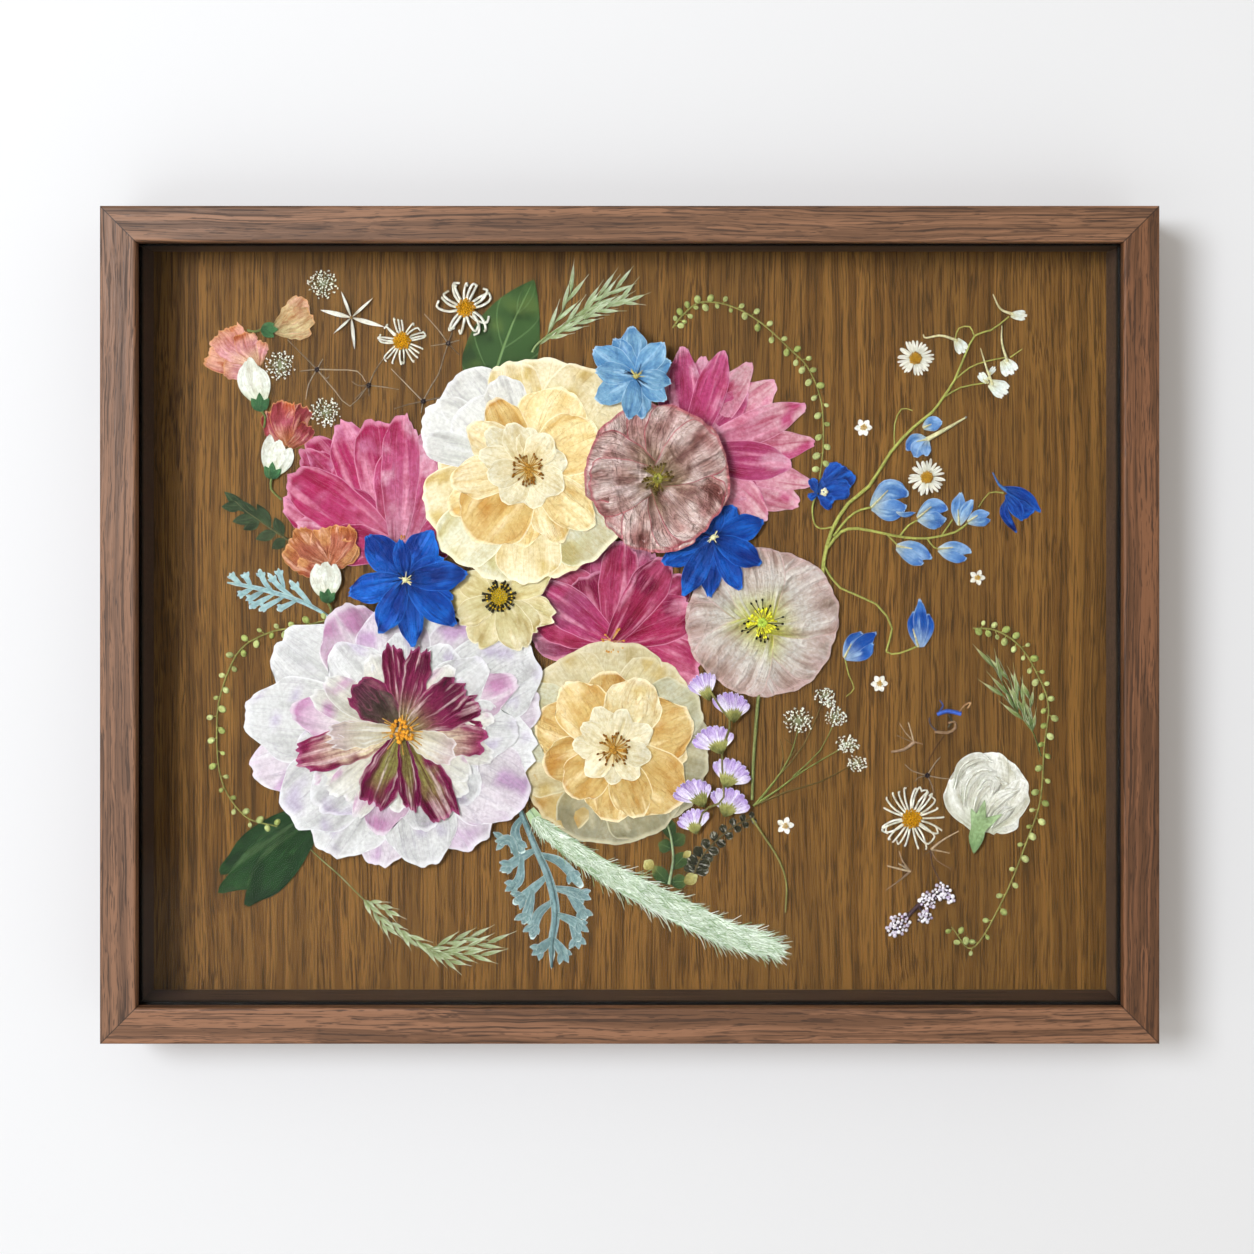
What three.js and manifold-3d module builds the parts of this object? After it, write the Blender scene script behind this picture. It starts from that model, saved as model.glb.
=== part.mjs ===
// A shadow-box frame of walnut with pressed flowers laid out on an oak board behind glass.
// Millimetres. +Z is up, the glass looks towards -Y and the wall is on the +Y side.
// The origin is the centre of the bounding box.

import * as THREE from 'three';
import { mergeVertices } from 'three/addons/utils/BufferGeometryUtils.js';
import Module from 'manifold-3d';

const wasm = await Module();
wasm.setup();

// ---------------------------------------------------------------- driving dimensions
const GAP = 0.3; // clearance kept between touching pieces

const OUTER_WIDTH = 378;
const OUTER_HEIGHT = 299;
const RAIL_DEPTH = 35; // front face to back of the rails
const RAIL_FACE = 13; // width of the rail seen from the front
const LIP = 5; // thickness of the lip in front of the glass
const REBATE = 3; // how far the lip overlaps the glass
const ARRIS = 0.6; // chamfer on the front edges

const GLASS_THICKNESS = 2;
const BOARD_THICKNESS = 4;
const BOARD_FROM_FRONT = 28; // front face of the rails to the face of the oak board
const SPACER_THICKNESS = 3.2;

const HARDWARE_PROUD = 1.8; // how far hanger and bumpers stand behind the rails
const HANGER = { width: 46, height: 9, thickness: 1.5, teeth: 11, toothDepth: 2.2, plainEnd: 6 };
const BUMPER = { radius: 5, topRadius: 4, thickness: 1.5, fromSide: 7, fromBottom: 5 };

const PETAL = 0.6; // thickness of a dried petal, its cupping included
const LAYER = PETAL + GAP; // rise from one layer of flowers to the next

// ---------------------------------------------------------------- derived places
const FRONT_Y = -(RAIL_DEPTH + HARDWARE_PROUD) / 2;
const RAIL_BACK_Y = FRONT_Y + RAIL_DEPTH;
const GLASS_Y = FRONT_Y + LIP + GAP;
const BOARD_Y = FRONT_Y + BOARD_FROM_FRONT;
const SPACER_FRONT_Y = GLASS_Y + GLASS_THICKNESS + GAP;
const SPACER_DEPTH = BOARD_Y - GAP - SPACER_FRONT_Y;
const POCKET_WIDTH = OUTER_WIDTH - 2 * (RAIL_FACE - REBATE + GAP);
const POCKET_HEIGHT = OUTER_HEIGHT - 2 * (RAIL_FACE - REBATE + GAP);

// ---------------------------------------------------------------- finishes
const finish = (color, roughness = 0.7, metalness = 0) =>
  new THREE.MeshStandardMaterial({ color, roughness, metalness });

const WALNUT = finish(0x7e5a44, 0.5);
const OAK = finish(0x86643c, 0.6);
const STAINED_SPACER = finish(0x3a2e27, 0.7);
const CLEAR_GLASS = finish(0xf2f6f4, 0.02);
const STEEL = finish(0xb9b6ae, 0.35, 1);
const RUBBER = finish(0x2a2a2a, 0.8);
const WHITE_PETAL = finish(0xf0ecea);
const CREAM_PETAL = finish(0xeedcae);
const PINK_PETAL = finish(0xc4487c);
const MAUVE_PETAL = finish(0xb58a85, 0.5);
const BLUE_PETAL = finish(0x1c55b4);
const PALE_BLUE_PETAL = finish(0x7fb0e0);
const LILAC_PETAL = finish(0xb9a3cf);
const ORANGE_PETAL = finish(0xcd7a55);
const LEAF_GREEN = finish(0x3f6b3a);
const SILVER_GREEN = finish(0x9fb6b4);
const STEM_GREEN = finish(0x8b9a4c);
const GRASS_GREEN = finish(0xc6d3b4);
const DRY_BROWN = finish(0x5f5138);

const model = new THREE.Group();

function add(name, geometry, material, parent = model) {
  const mesh = new THREE.Mesh(geometry, material);
  mesh.name = name;
  parent.add(mesh);
  return mesh;
}

// ---------------------------------------------------------------- joining and cutting
function toSolid(geometry) {
  const bare = geometry.clone();
  bare.deleteAttribute('normal');
  bare.deleteAttribute('uv');
  const merged = mergeVertices(bare, 1e-4);
  return new wasm.Manifold(new wasm.Mesh({
    numProp: 3,
    vertProperties: Float32Array.from(merged.attributes.position.array),
    triVerts: Uint32Array.from(merged.index.array),
  }));
}

function toGeometry(solid) {
  const mesh = solid.getMesh();
  const indexed = new THREE.BufferGeometry();
  indexed.setAttribute('position', new THREE.BufferAttribute(mesh.vertProperties, 3));
  indexed.setIndex(new THREE.BufferAttribute(mesh.triVerts, 1));
  const flat = indexed.toNonIndexed();
  flat.computeVertexNormals();
  return flat;
}

// Grows several shapes into one body. The flat faces that meet in one plane are made one face.
const FLAT = 0.01;
function fuse(...shapes) {
  const whole = shapes.flat().map(toSolid).reduce((body, shape) => body.add(shape));
  return toGeometry(whole.asOriginal().simplify(FLAT));
}

function block(width, depth, height, x, y, z) {
  return new THREE.BoxGeometry(width, depth, height).translate(x, y, z);
}

// ---------------------------------------------------------------- frame
// The rail's section, drawn as (distance from the outer edge, distance from the front face).
function railSection() {
  const wall = RAIL_FACE - REBATE;
  return new THREE.Shape([
    [ARRIS, 0],
    [RAIL_FACE - ARRIS, 0],
    [RAIL_FACE, ARRIS],
    [RAIL_FACE, LIP],
    [wall, LIP],
    [wall, RAIL_DEPTH],
    [0, RAIL_DEPTH],
    [0, ARRIS],
  ].map(([inward, back]) => new THREE.Vector2(inward, back)));
}

// A rail lying along X at the top of the frame, its ends cut to a mitre.
function rail(length, halfSpan) {
  const geometry = new THREE.ExtrudeGeometry(railSection(), { depth: 2, bevelEnabled: false });
  const position = geometry.attributes.position;
  for (let i = 0; i < position.count; i++) {
    const inward = position.getX(i);
    const back = position.getY(i);
    const end = Math.sign(position.getZ(i) - 1);
    position.setXYZ(i, end * (length / 2 - inward - GAP / 2), FRONT_Y + back, halfSpan - inward);
  }
  geometry.computeVertexNormals();
  return geometry;
}

function addRails() {
  const sides = [
    ['rail_top', OUTER_WIDTH, OUTER_HEIGHT, 0],
    ['rail_right', OUTER_HEIGHT, OUTER_WIDTH, Math.PI / 2],
    ['rail_bottom', OUTER_WIDTH, OUTER_HEIGHT, Math.PI],
    ['rail_left', OUTER_HEIGHT, OUTER_WIDTH, -Math.PI / 2],
  ];
  for (const [name, length, span, turn] of sides) {
    add(name, rail(length, span / 2), WALNUT).rotation.y = turn;
  }
}

function addGlazing() {
  const glassY = GLASS_Y + GLASS_THICKNESS / 2;
  add('glass', block(POCKET_WIDTH, GLASS_THICKNESS, POCKET_HEIGHT, 0, glassY, 0), CLEAR_GLASS);
  const boardY = BOARD_Y + BOARD_THICKNESS / 2;
  add('oak_board', block(POCKET_WIDTH, BOARD_THICKNESS, POCKET_HEIGHT, 0, boardY, 0), OAK);
}

// Four strips hold the glass away from the flowers.
function addSpacers() {
  const y = SPACER_FRONT_Y + SPACER_DEPTH / 2;
  const halfWidth = (POCKET_WIDTH - SPACER_THICKNESS) / 2;
  const halfHeight = (POCKET_HEIGHT - SPACER_THICKNESS) / 2;
  const sideLength = POCKET_HEIGHT - 2 * (SPACER_THICKNESS + GAP);
  for (const [name, side] of [['spacer_top', 1], ['spacer_bottom', -1]]) {
    const strip = block(POCKET_WIDTH, SPACER_DEPTH, SPACER_THICKNESS, 0, y, side * halfHeight);
    add(name, strip, STAINED_SPACER);
  }
  for (const [name, side] of [['spacer_left', -1], ['spacer_right', 1]]) {
    const strip = block(SPACER_THICKNESS, SPACER_DEPTH, sideLength, side * halfWidth, y, 0);
    add(name, strip, STAINED_SPACER);
  }
}

// A sawtooth hanger on the back of the top rail and two bumpers at the bottom.
function addHardware() {
  const plate = new THREE.Shape();
  const { width, height, teeth, toothDepth, thickness, plainEnd } = HANGER;
  plate.moveTo(-width / 2, 0);
  plate.lineTo(-width / 2, height);
  plate.lineTo(width / 2, height);
  plate.lineTo(width / 2, 0);
  const pitch = (width - 2 * plainEnd) / teeth;
  for (let tooth = 0; tooth < teeth; tooth++) {
    const right = pitch * (teeth / 2 - tooth);
    plate.lineTo(right, 0);
    plate.lineTo(right - pitch / 2, toothDepth);
  }
  plate.lineTo(-pitch * teeth / 2, 0);
  const hanger = new THREE.ExtrudeGeometry(plate, { depth: thickness, bevelEnabled: false });
  hanger.rotateX(Math.PI / 2);
  hanger.translate(0, RAIL_BACK_Y + GAP + thickness, (OUTER_HEIGHT - RAIL_FACE + REBATE - height) / 2);
  add('sawtooth_hanger', hanger, STEEL);

  for (const [name, side] of [['bumper_left', -1], ['bumper_right', 1]]) {
    const bumper = new THREE.CylinderGeometry(BUMPER.topRadius, BUMPER.radius, BUMPER.thickness, 12);
    const x = side * (OUTER_WIDTH / 2 - BUMPER.fromSide);
    const z = BUMPER.fromBottom - OUTER_HEIGHT / 2;
    bumper.translate(x, RAIL_BACK_Y + GAP + BUMPER.thickness / 2, z);
    add(name, bumper, RUBBER);
  }
}

addRails();
addGlazing();
addSpacers();
addHardware();

// ---------------------------------------------------------------- pressed plants
// They are drawn on the board: x to the right, y up, and z towards the glass.
const pressed = new THREE.Group();
pressed.rotation.x = Math.PI / 2;
pressed.position.y = BOARD_Y;
model.add(pressed);

function press(name, layer, material, ...shapes) {
  add(name, fuse(...shapes), material, pressed).position.z = GAP + layer * LAYER;
}

// Every shape stands on the underside of its plant, so a flower is a stack of flat steps.
// Half widths along a blade, from its base at 0 to its tip at 1.
const petalShape = (t) => Math.sin(0.9 * Math.PI * t ** 1.3) ** 0.7;
const stalkShape = () => 1;

// A flat piece cut to an outline.
function sheet(outline, top = PETAL) {
  const shape = new THREE.Shape(outline.map(([x, y]) => new THREE.Vector2(x, y)));
  return new THREE.ExtrudeGeometry(shape, { depth: top, bevelEnabled: false });
}

// A flat piece that follows a line over the board: a petal, a leaf or a stalk.
function blade(line, width, { top = PETAL, steps = 3, shape = petalShape } = {}) {
  const curve = new THREE.SplineCurve(line.map(([x, y]) => new THREE.Vector2(x, y)));
  const left = [];
  const right = [];
  for (let i = 0; i <= steps; i++) {
    const t = i / steps;
    const { x, y } = curve.getPoint(t);
    const along = curve.getTangent(t);
    const half = shape(t) * width / 2;
    left.push([x - along.y * half, y + along.x * half]);
    if (half > 1e-3) right.unshift([x + along.y * half, y - along.x * half]);
  }
  return sheet([...right, ...left].reverse(), top);
}

const stalk = (line, width, steps = line.length - 1) =>
  blade(line, width, { steps, shape: stalkShape });

// A petal that leaves a flower's centre in a direction given in degrees.
function petal([x, y], [degrees, length, width], top = PETAL, steps = 3) {
  const angle = THREE.MathUtils.degToRad(degrees);
  const tip = [x + length * Math.cos(angle), y + length * Math.sin(angle)];
  return blade([[x, y], tip], width, { top, steps });
}

// A ring of petals. Every other one lies a little higher, over its neighbours.
const OVERLAP = 0.2;
const ring = (centre, petals, top = PETAL, steps = 3) =>
  petals.map((size, i) => petal(centre, size, top + (i % 2) * OVERLAP, steps));

// The same petal repeated all the way round, as in a daisy.
const rays = (centre, count, length, width) =>
  Array.from({ length: count }, (_, i) => petal(centre, [i * 360 / count, length, width], PETAL, 1));

// A round cushion of stamens or florets.
const heart = ([x, y], radius, top = 1.6, sides = 7) =>
  new THREE.CylinderGeometry(radius * 0.8, radius, top, sides)
    .rotateX(Math.PI / 2)
    .translate(x, y, top / 2);

// A small round thing as thick as the stalk that carries it.
const bead = ([x, y], radius, sides = 4) =>
  new THREE.CylinderGeometry(radius, radius, PETAL, sides).rotateX(Math.PI / 2).translate(x, y, PETAL / 2);

// ---------------------------------------------------------------- large flowers
const SECOND = PETAL + 0.45; // tops of a flower's inner rings of petals
const THIRD = SECOND + 0.45;

function addPeony() {
  const centre = [-83.7, -40.5];
  const outer = [
    [149, 56, 23], [132, 53.5, 18], [174, 59.5, 23], [-175, 58, 17], [-161, 55, 19], [-144, 53, 18],
    [-116, 54.5, 23], [-98, 50, 16], [-83, 51, 20], [-58, 50, 22], [-34, 53.5, 19], [-9, 50.5, 24],
    [24, 55.5, 23], [47, 47, 22], [68, 44.5, 21], [94, 46, 22], [115, 51.5, 18],
  ];
  const middle = [
    [128, 40, 16], [169, 42, 15], [-170, 38.5, 17], [-106, 35.5, 15], [21, 47.5, 15],
  ];
  const flamed = [
    [95, 32, 7], [78, 29.5, 8], [132, 21.5, 14], [30, 24.5, 10], [-6, 29.5, 13], [-68, 34, 14],
    [-112, 27, 12.5], [-165, 38, 11],
  ];
  press('peony', 2.5, WHITE_PETAL,
    ring(centre, outer), ring(centre, middle, SECOND, 2), ring(centre, flamed, THIRD),
    heart(centre, 4.5, 2.4));
}

function addUpperRose() {
  const centre = [-37.2, 56.1];
  const outer = [
    [74, 40.5, 28], [52, 44, 18], [20, 30, 26], [-43, 41.5, 26], [-74, 40.5, 24], [-108, 44, 20],
    [-128, 46, 16], [-150, 42, 21], [176, 30, 15], [123, 43, 17], [107, 35.5, 15], [147, 43, 13],
    [161, 43, 12],
  ];
  const golden = [
    [66, 28, 26], [32, 26.5, 22], [-45, 29.5, 16], [-79, 29.5, 15], [-109, 33, 22], [-142, 37, 20],
    [145, 24.5, 13], [116, 26, 16],
  ];
  const inner = [
    [129, 19, 11], [-161, 13.5, 12], [-107, 15, 12], [-47, 15, 10], [-3, 14, 12], [51, 13.5, 12],
    [96, 14, 11],
  ];
  press('rose_upper', 4.5, CREAM_PETAL,
    ring(centre, outer), ring(centre, golden, SECOND, 2), ring(centre, inner, THIRD, 2),
    heart(centre, 4, 2.4));
}

function addLowerRose() {
  const centre = [-5.9, -47.2];
  const outer = [
    [92, 39.5, 31], [69, 37, 22], [37, 35.5, 22], [-1, 36, 22], [-26, 35.5, 21], [-61, 35.5, 22],
    [-98, 35.5, 22], [-129, 35, 20], [-150, 35, 20], [-172, 32, 19], [159, 37.5, 20], [127, 39.5, 22],
  ];
  const golden = [
    [144, 30, 21], [118, 30, 20], [82, 28, 18], [32, 29, 20], [6, 28, 16], [-45, 28, 20],
    [-92, 25, 17], [-126, 26.5, 18], [-162, 26.5, 20],
  ];
  const inner = [
    [108, 16.5, 9.6], [69, 14, 9.6], [25, 15.5, 9.6], [-21, 12.5, 9.6], [-74, 13, 9.6], [-123, 12.5, 10],
    [-168, 14.5, 10], [139, 14.5, 10],
  ];
  press('rose_lower', 1, CREAM_PETAL,
    ring(centre, outer), ring(centre, golden, SECOND, 2), ring(centre, inner, THIRD, 2),
    heart(centre, 4, 2.4));
}

function addPinkFlowers() {
  const magnolia = [-85.6, 26.6];
  press('magnolia', 0, PINK_PETAL, heart(magnolia, 4, 0.8), ring(magnolia, [
    [156, 45.5, 16], [134, 50, 10], [146, 48.5, 15.5], [115, 50.5, 14], [128, 52, 12], [100, 48.5, 17],
    [121, 40.5, 13], [88, 49.5, 10], [65, 34, 17], [83, 38.5, 19], [43, 16, 16],
  ]));
  const dahlia = [21.4, 60.9];
  press('dahlia', 0, PINK_PETAL, heart(dahlia, 4, 0.8), ring(dahlia, [
    [93, 40, 11], [71, 40.5, 11], [56, 40.5, 11], [40, 41.5, 15], [23, 47, 11], [6, 46.5, 11],
    [-5, 36.5, 14], [-9, 47.5, 9.5], [-24, 45, 16], [-39, 36.5, 13],
  ]));
  const loose = [-6.6, -7.3];
  press('pink_peony', 0, PINK_PETAL, heart(loose, 4, 0.8), ring(loose, [
    [177, 29, 12.5], [131, 33, 15.5], [108, 24, 20], [99, 37, 11], [69, 35, 14], [44, 22, 8],
    [39, 36, 11], [-19, 33, 21],
  ]));
}

function addPoppies() {
  const mauve = [10.3, 52.4];
  press('poppy_mauve', 6, MAUVE_PETAL, heart(mauve, 4, 1.2), ring(mauve, [
    [120, 28, 23.5], [63, 26.5, 23.5], [7, 25.5, 24.5], [-38, 25, 23], [-90, 27, 24.5],
    [-148, 23.5, 22], [167, 27, 24.5],
  ]));
  const white = [48.7, -0.7];
  const stem = [[46.9, -25.8], [46.1, -40.9], [45.4, -54.2], [45, -66]];
  press('poppy_white', 1, WHITE_PETAL, heart(white, 4.5, 1.4), ring(white, [
    [163, 28, 26], [121, 28.5, 22], [76, 26.5, 29.5], [25, 28.5, 26], [-22, 27, 26.5],
    [-72, 27, 28], [-126, 26.5, 28], [-167, 28.5, 22],
  ]), stalk([[48, -20], ...stem], 1.6));
}

function addBlueFlowers() {
  const left = [-82.2, 15.2];
  press('delphinium_left', 6, BLUE_PETAL, heart(left, 2, 1.2), ring(left, [
    [131, 21, 12], [62, 19.5, 12.5], [6, 22, 11], [-42, 24.5, 12], [-83, 24, 9], [-116, 21.5, 10.5],
    [-166, 21, 9.5],
  ]));
  const middle = [30.6, 30.7];
  press('delphinium_middle', 2.5, BLUE_PETAL, heart(middle, 2, 1.2), ring(middle, [
    [56, 12.5, 9.5], [18, 19, 9], [-29, 19.5, 9.5], [-63, 22, 7.5], [-94, 22, 8], [-117, 24, 8],
    [-153, 21, 9.5],
  ]));
  const pale = [2.2, 89.7];
  press('larkspur_pale', 7, PALE_BLUE_PETAL, heart(pale, 2, 1.2), ring(pale, [
    [95, 18, 11], [50, 15.5, 10.5], [23, 12.5, 9], [-39, 13.5, 8], [-80, 15, 9], [-99, 15.5, 7.5],
    [-148, 16.5, 11], [147, 18, 12.5],
  ]));
}

function addDaisies() {
  const cosmos = [-47.9, 8.9];
  press('cosmos', 3.5, CREAM_PETAL, heart(cosmos, 6, 0.85), ring(cosmos, [
    [-176, 19, 12.5], [-115, 20.5, 14], [-65, 21, 14], [-21, 22, 13.5], [26, 20.5, 13.5], [90, 13.5, 11],
    [155, 17, 11],
  ]));
  const chamomiles = [[-84.1, 103], [-60.5, 115.1], [103.7, -73]];
  const reach = [8.2, 10, 11.5];
  chamomiles.forEach((centre, i) => press(`chamomile_${i + 1}`, i === 1 ? 1 : 0, WHITE_PETAL,
    heart(centre, 3.6, 1.4, 6), rays(centre, 10, reach[i], 4)));
  const daisies = [[105.1, 96.7], [109.2, 52.8]];
  daisies.forEach((centre, i) => press(`daisy_${i + 1}`, i, WHITE_PETAL,
    heart(centre, 2.8, 1.2, 6), rays(centre, 10, 6.7, 5)));
}

// ---------------------------------------------------------------- leaves and grasses
function addLeaves() {
  press('leaf_pointed', 0, LEAF_GREEN, sheet([
    [-35.8, 125.1], [-35, 110.7], [-35.8, 99.6], [-40.6, 85], [-48, 79.5], [-59, 83], [-63.8, 91.5],
    [-62, 97.5], [-56.8, 106], [-50.5, 113], [-42, 120],
  ]));
  press('leaf_three_lobed', 0, LEAF_GREEN, sheet([
    [-119.5, -72.3], [-134.6, -78.2], [-146.8, -87], [-151.2, -93], [-147.2, -93.6], [-151.6, -100],
    [-143.8, -98], [-138.3, -96.5], [-141.3, -105], [-133.5, -100.7], [-125.4, -93], [-116.6, -83.7],
  ]));
  press('foliage_dark', 0, LEAF_GREEN,
    stalk([[-128.5, 31], [-131, 33], [-135.3, 36], [-141.7, 40.4]], 1.4),
    [
      [[-141, 40], [-147.5, 46]], [[-136.5, 37], [-144.5, 44.5]], [[-136.5, 37], [-142.5, 36]],
      [[-132.5, 34.5], [-136.5, 43]], [[-130.5, 32.5], [-138, 31]],
    ].map((line) => blade(line, 4.5)));
}

// Felted silver leaves, cut into narrow lobes that grow from one rib.
function addSilverLeaves() {
  const lobe = (line) => blade(line, 2.8, { steps: line.length - 1, shape: (t) => 0.55 + 0.45 * t });
  press('silver_leaf_left', 0, SILVER_GREEN,
    stalk([[-112, 1.7], [-115, 3.9], [-123, 7.7], [-133.8, 11], [-140, 12.5], [-147.8, 14]], 2.2),
    [
      [[-131.5, 10.5], [-134.6, 14], [-136.8, 19]], [[-124, 8.5], [-129.3, 12.5], [-133.5, 17.4]],
      [[-127.4, 12], [-129.7, 18.6]], [[-115, 4.4], [-118.8, 9.5], [-125.6, 14.8]],
      [[-139.5, 12.5], [-142.1, 17]], [[-139, 12], [-144.2, 9.2]], [[-135, 11], [-141, 7.5]],
      [[-131, 9.8], [-140.6, 4.6]], [[-127.5, 8.8], [-136.8, 3.7]], [[-123, 7.3], [-130.1, 3.9]],
    ].map(lobe));
  press('silver_leaf_lower', 0, SILVER_GREEN,
    stalk([[-40.3, -70.4], [-34.6, -84.3], [-31, -92], [-28.4, -100.4], [-27.4, -108.7], [-28.7, -118.5],
      [-28.9, -127.8]], 2.6),
    [
      [[-39.5, -72], [-42.4, -78], [-39.5, -86]], [[-34.6, -84.3], [-41.3, -88], [-47.6, -92.6]],
      [[-39.8, -87.2], [-40.8, -95.2], [-44.5, -98.8]], [[-41.6, -87], [-44.3, -81], [-48.6, -81.7]],
      [[-30.5, -94], [-36.2, -99.3], [-43, -104.5]], [[-35.9, -99.3], [-37.2, -105.6], [-39.3, -111.8]],
      [[-28, -103], [-34.1, -108.7], [-36.2, -117.5]], [[-34, -86], [-25.2, -89.4], [-17.5, -98.4]],
      [[-29.3, -98.4], [-21.7, -99.9], [-15.2, -102]], [[-23.2, -99.9], [-19.6, -104.5], [-16, -110]],
      [[-27.6, -108], [-21.2, -110.7], [-17.5, -112.8]], [[-22.2, -110.4], [-20.1, -114.9], [-19.1, -118.5]],
      [[-28.5, -117], [-34.1, -122.1]], [[-28.5, -117], [-23.7, -123.7]],
    ].map(lobe));
}

// Each grass has a thin stalk with spikelets that point along it.
function addGrasses() {
  const spikelet = (line) => blade(line, 2.4, { steps: 2 });
  press('grass_ear_top', 0, GRASS_GREEN, stalk([[-33.6, 102.4], [-24, 109], [-11, 116], [-3, 117.5]], 1), [
    [[-32, 102.8], [-20.6, 124]], [[-27, 106], [-8.8, 122]], [[-21, 110], [-2.9, 124]],
    [[-13, 114], [1.5, 118]],
  ].map(spikelet));
  press('grass_ear_lower', 0, GRASS_GREEN,
    stalk([[-115, -87], [-107, -94], [-98.5, -102.5], [-85, -114], [-70, -123]], 0.9, 6),
    [
      [[-98, -103], [-87.8, -108]], [[-90, -110], [-81, -118.5]], [[-84, -114.5], [-72, -123.5]],
      [[-78, -118.5], [-64.5, -126.5]], [[-74, -121], [-56, -116]], [[-71, -122.5], [-49.4, -118.5]],
      [[-72, -122], [-52, -123.5]],
    ].map(spikelet));
  press('grass_ear_right', 0, GRASS_GREEN, stalk([[147, -37], [148.2, -40.5], [149.6, -44]], 0.8), [
    [[148.4, -41], [141.5, -32.2], [134.3, -24]], [[145.4, -37], [143, -29.2], [135.8, -14]],
    [[143, -33.6], [137, -22.4], [131.8, -12.6]], [[147.8, -39.5], [144.8, -30], [143, -22.4]],
    [[148.4, -40.5], [147.6, -32.2], [146.8, -26]],
  ].map(spikelet));
  // The soft brush of a foxtail, widest in its lower half.
  const axis = [[-34, -73.5], [-31, -77], [-11, -91.4], [11, -103.2], [33.2, -114.3], [52.4, -120.6]];
  const brush = (t) => 0.12 + 0.88 * Math.sin(Math.PI * Math.min(1, 0.08 + t)) ** 0.6;
  press('foxtail', 0, GRASS_GREEN,
    blade(axis, 8, { top: 0.7, steps: 10, shape: brush }),
    blade(axis, 4.5, { top: 1.6, steps: 8, shape: (t) => (t < 0.15 ? 0.2 : brush(t)) }));
}

// A thin vine with round buds on short stalks, left and right in turn.
function addVine(name, line, budCount, budRadius = 1.1) {
  const curve = new THREE.SplineCurve(line.map(([x, y]) => new THREE.Vector2(x, y)));
  const buds = Array.from({ length: budCount }, (_, i) => {
    const t = (i + 1) / (budCount + 1);
    const { x, y } = curve.getPointAt(t);
    const along = curve.getTangentAt(t);
    const side = (i % 2 ? 1 : -1) * budRadius * 0.7;
    return bead([x - along.y * side, y + along.x * side], budRadius);
  });
  press(name, 0, STEM_GREEN, stalk(line, 0.8, Math.round(line.length * 1.6)), buds);
}

function addVines() {
  addVine('vine_top', [
    [19.6, 110.7], [26.2, 117.3], [37, 116], [48, 110], [59, 100], [65.7, 93], [70.5, 80.5], [71.2, 64.6],
    [69.9, 55],
  ], 11);
  addVine('vine_left', [
    [-122, -2.4], [-132.8, -4.4], [-143.8, -11], [-150.5, -25.8], [-152.3, -40.5], [-150.5, -59],
    [-142, -72], [-136, -74.6],
  ], 10);
  addVine('vine_right', [
    [126.5, -2.9], [134.6, -3.6], [143.5, -9.2], [149.8, -19.1], [154.2, -31], [152.7, -46.4],
    [151.2, -66.3], [146.5, -80.7], [138, -101.8], [126.5, -120.6], [118.5, -110],
  ], 13);
}

// ---------------------------------------------------------------- buds and sprays
// A rosebud pressed from the side: ruffled petals, a pale base, a green calyx and a stalk.
function addRosebud(name, layer, { petals, base = [], calyx, stem }) {
  const steps = [sheet(petals), sheet(calyx, PETAL + 0.4)];
  if (base.length) steps.push(sheet(base, PETAL + 0.2));
  if (stem) steps.push(stalk(stem, 1));
  press(name, layer, ORANGE_PETAL, steps);
}

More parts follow.
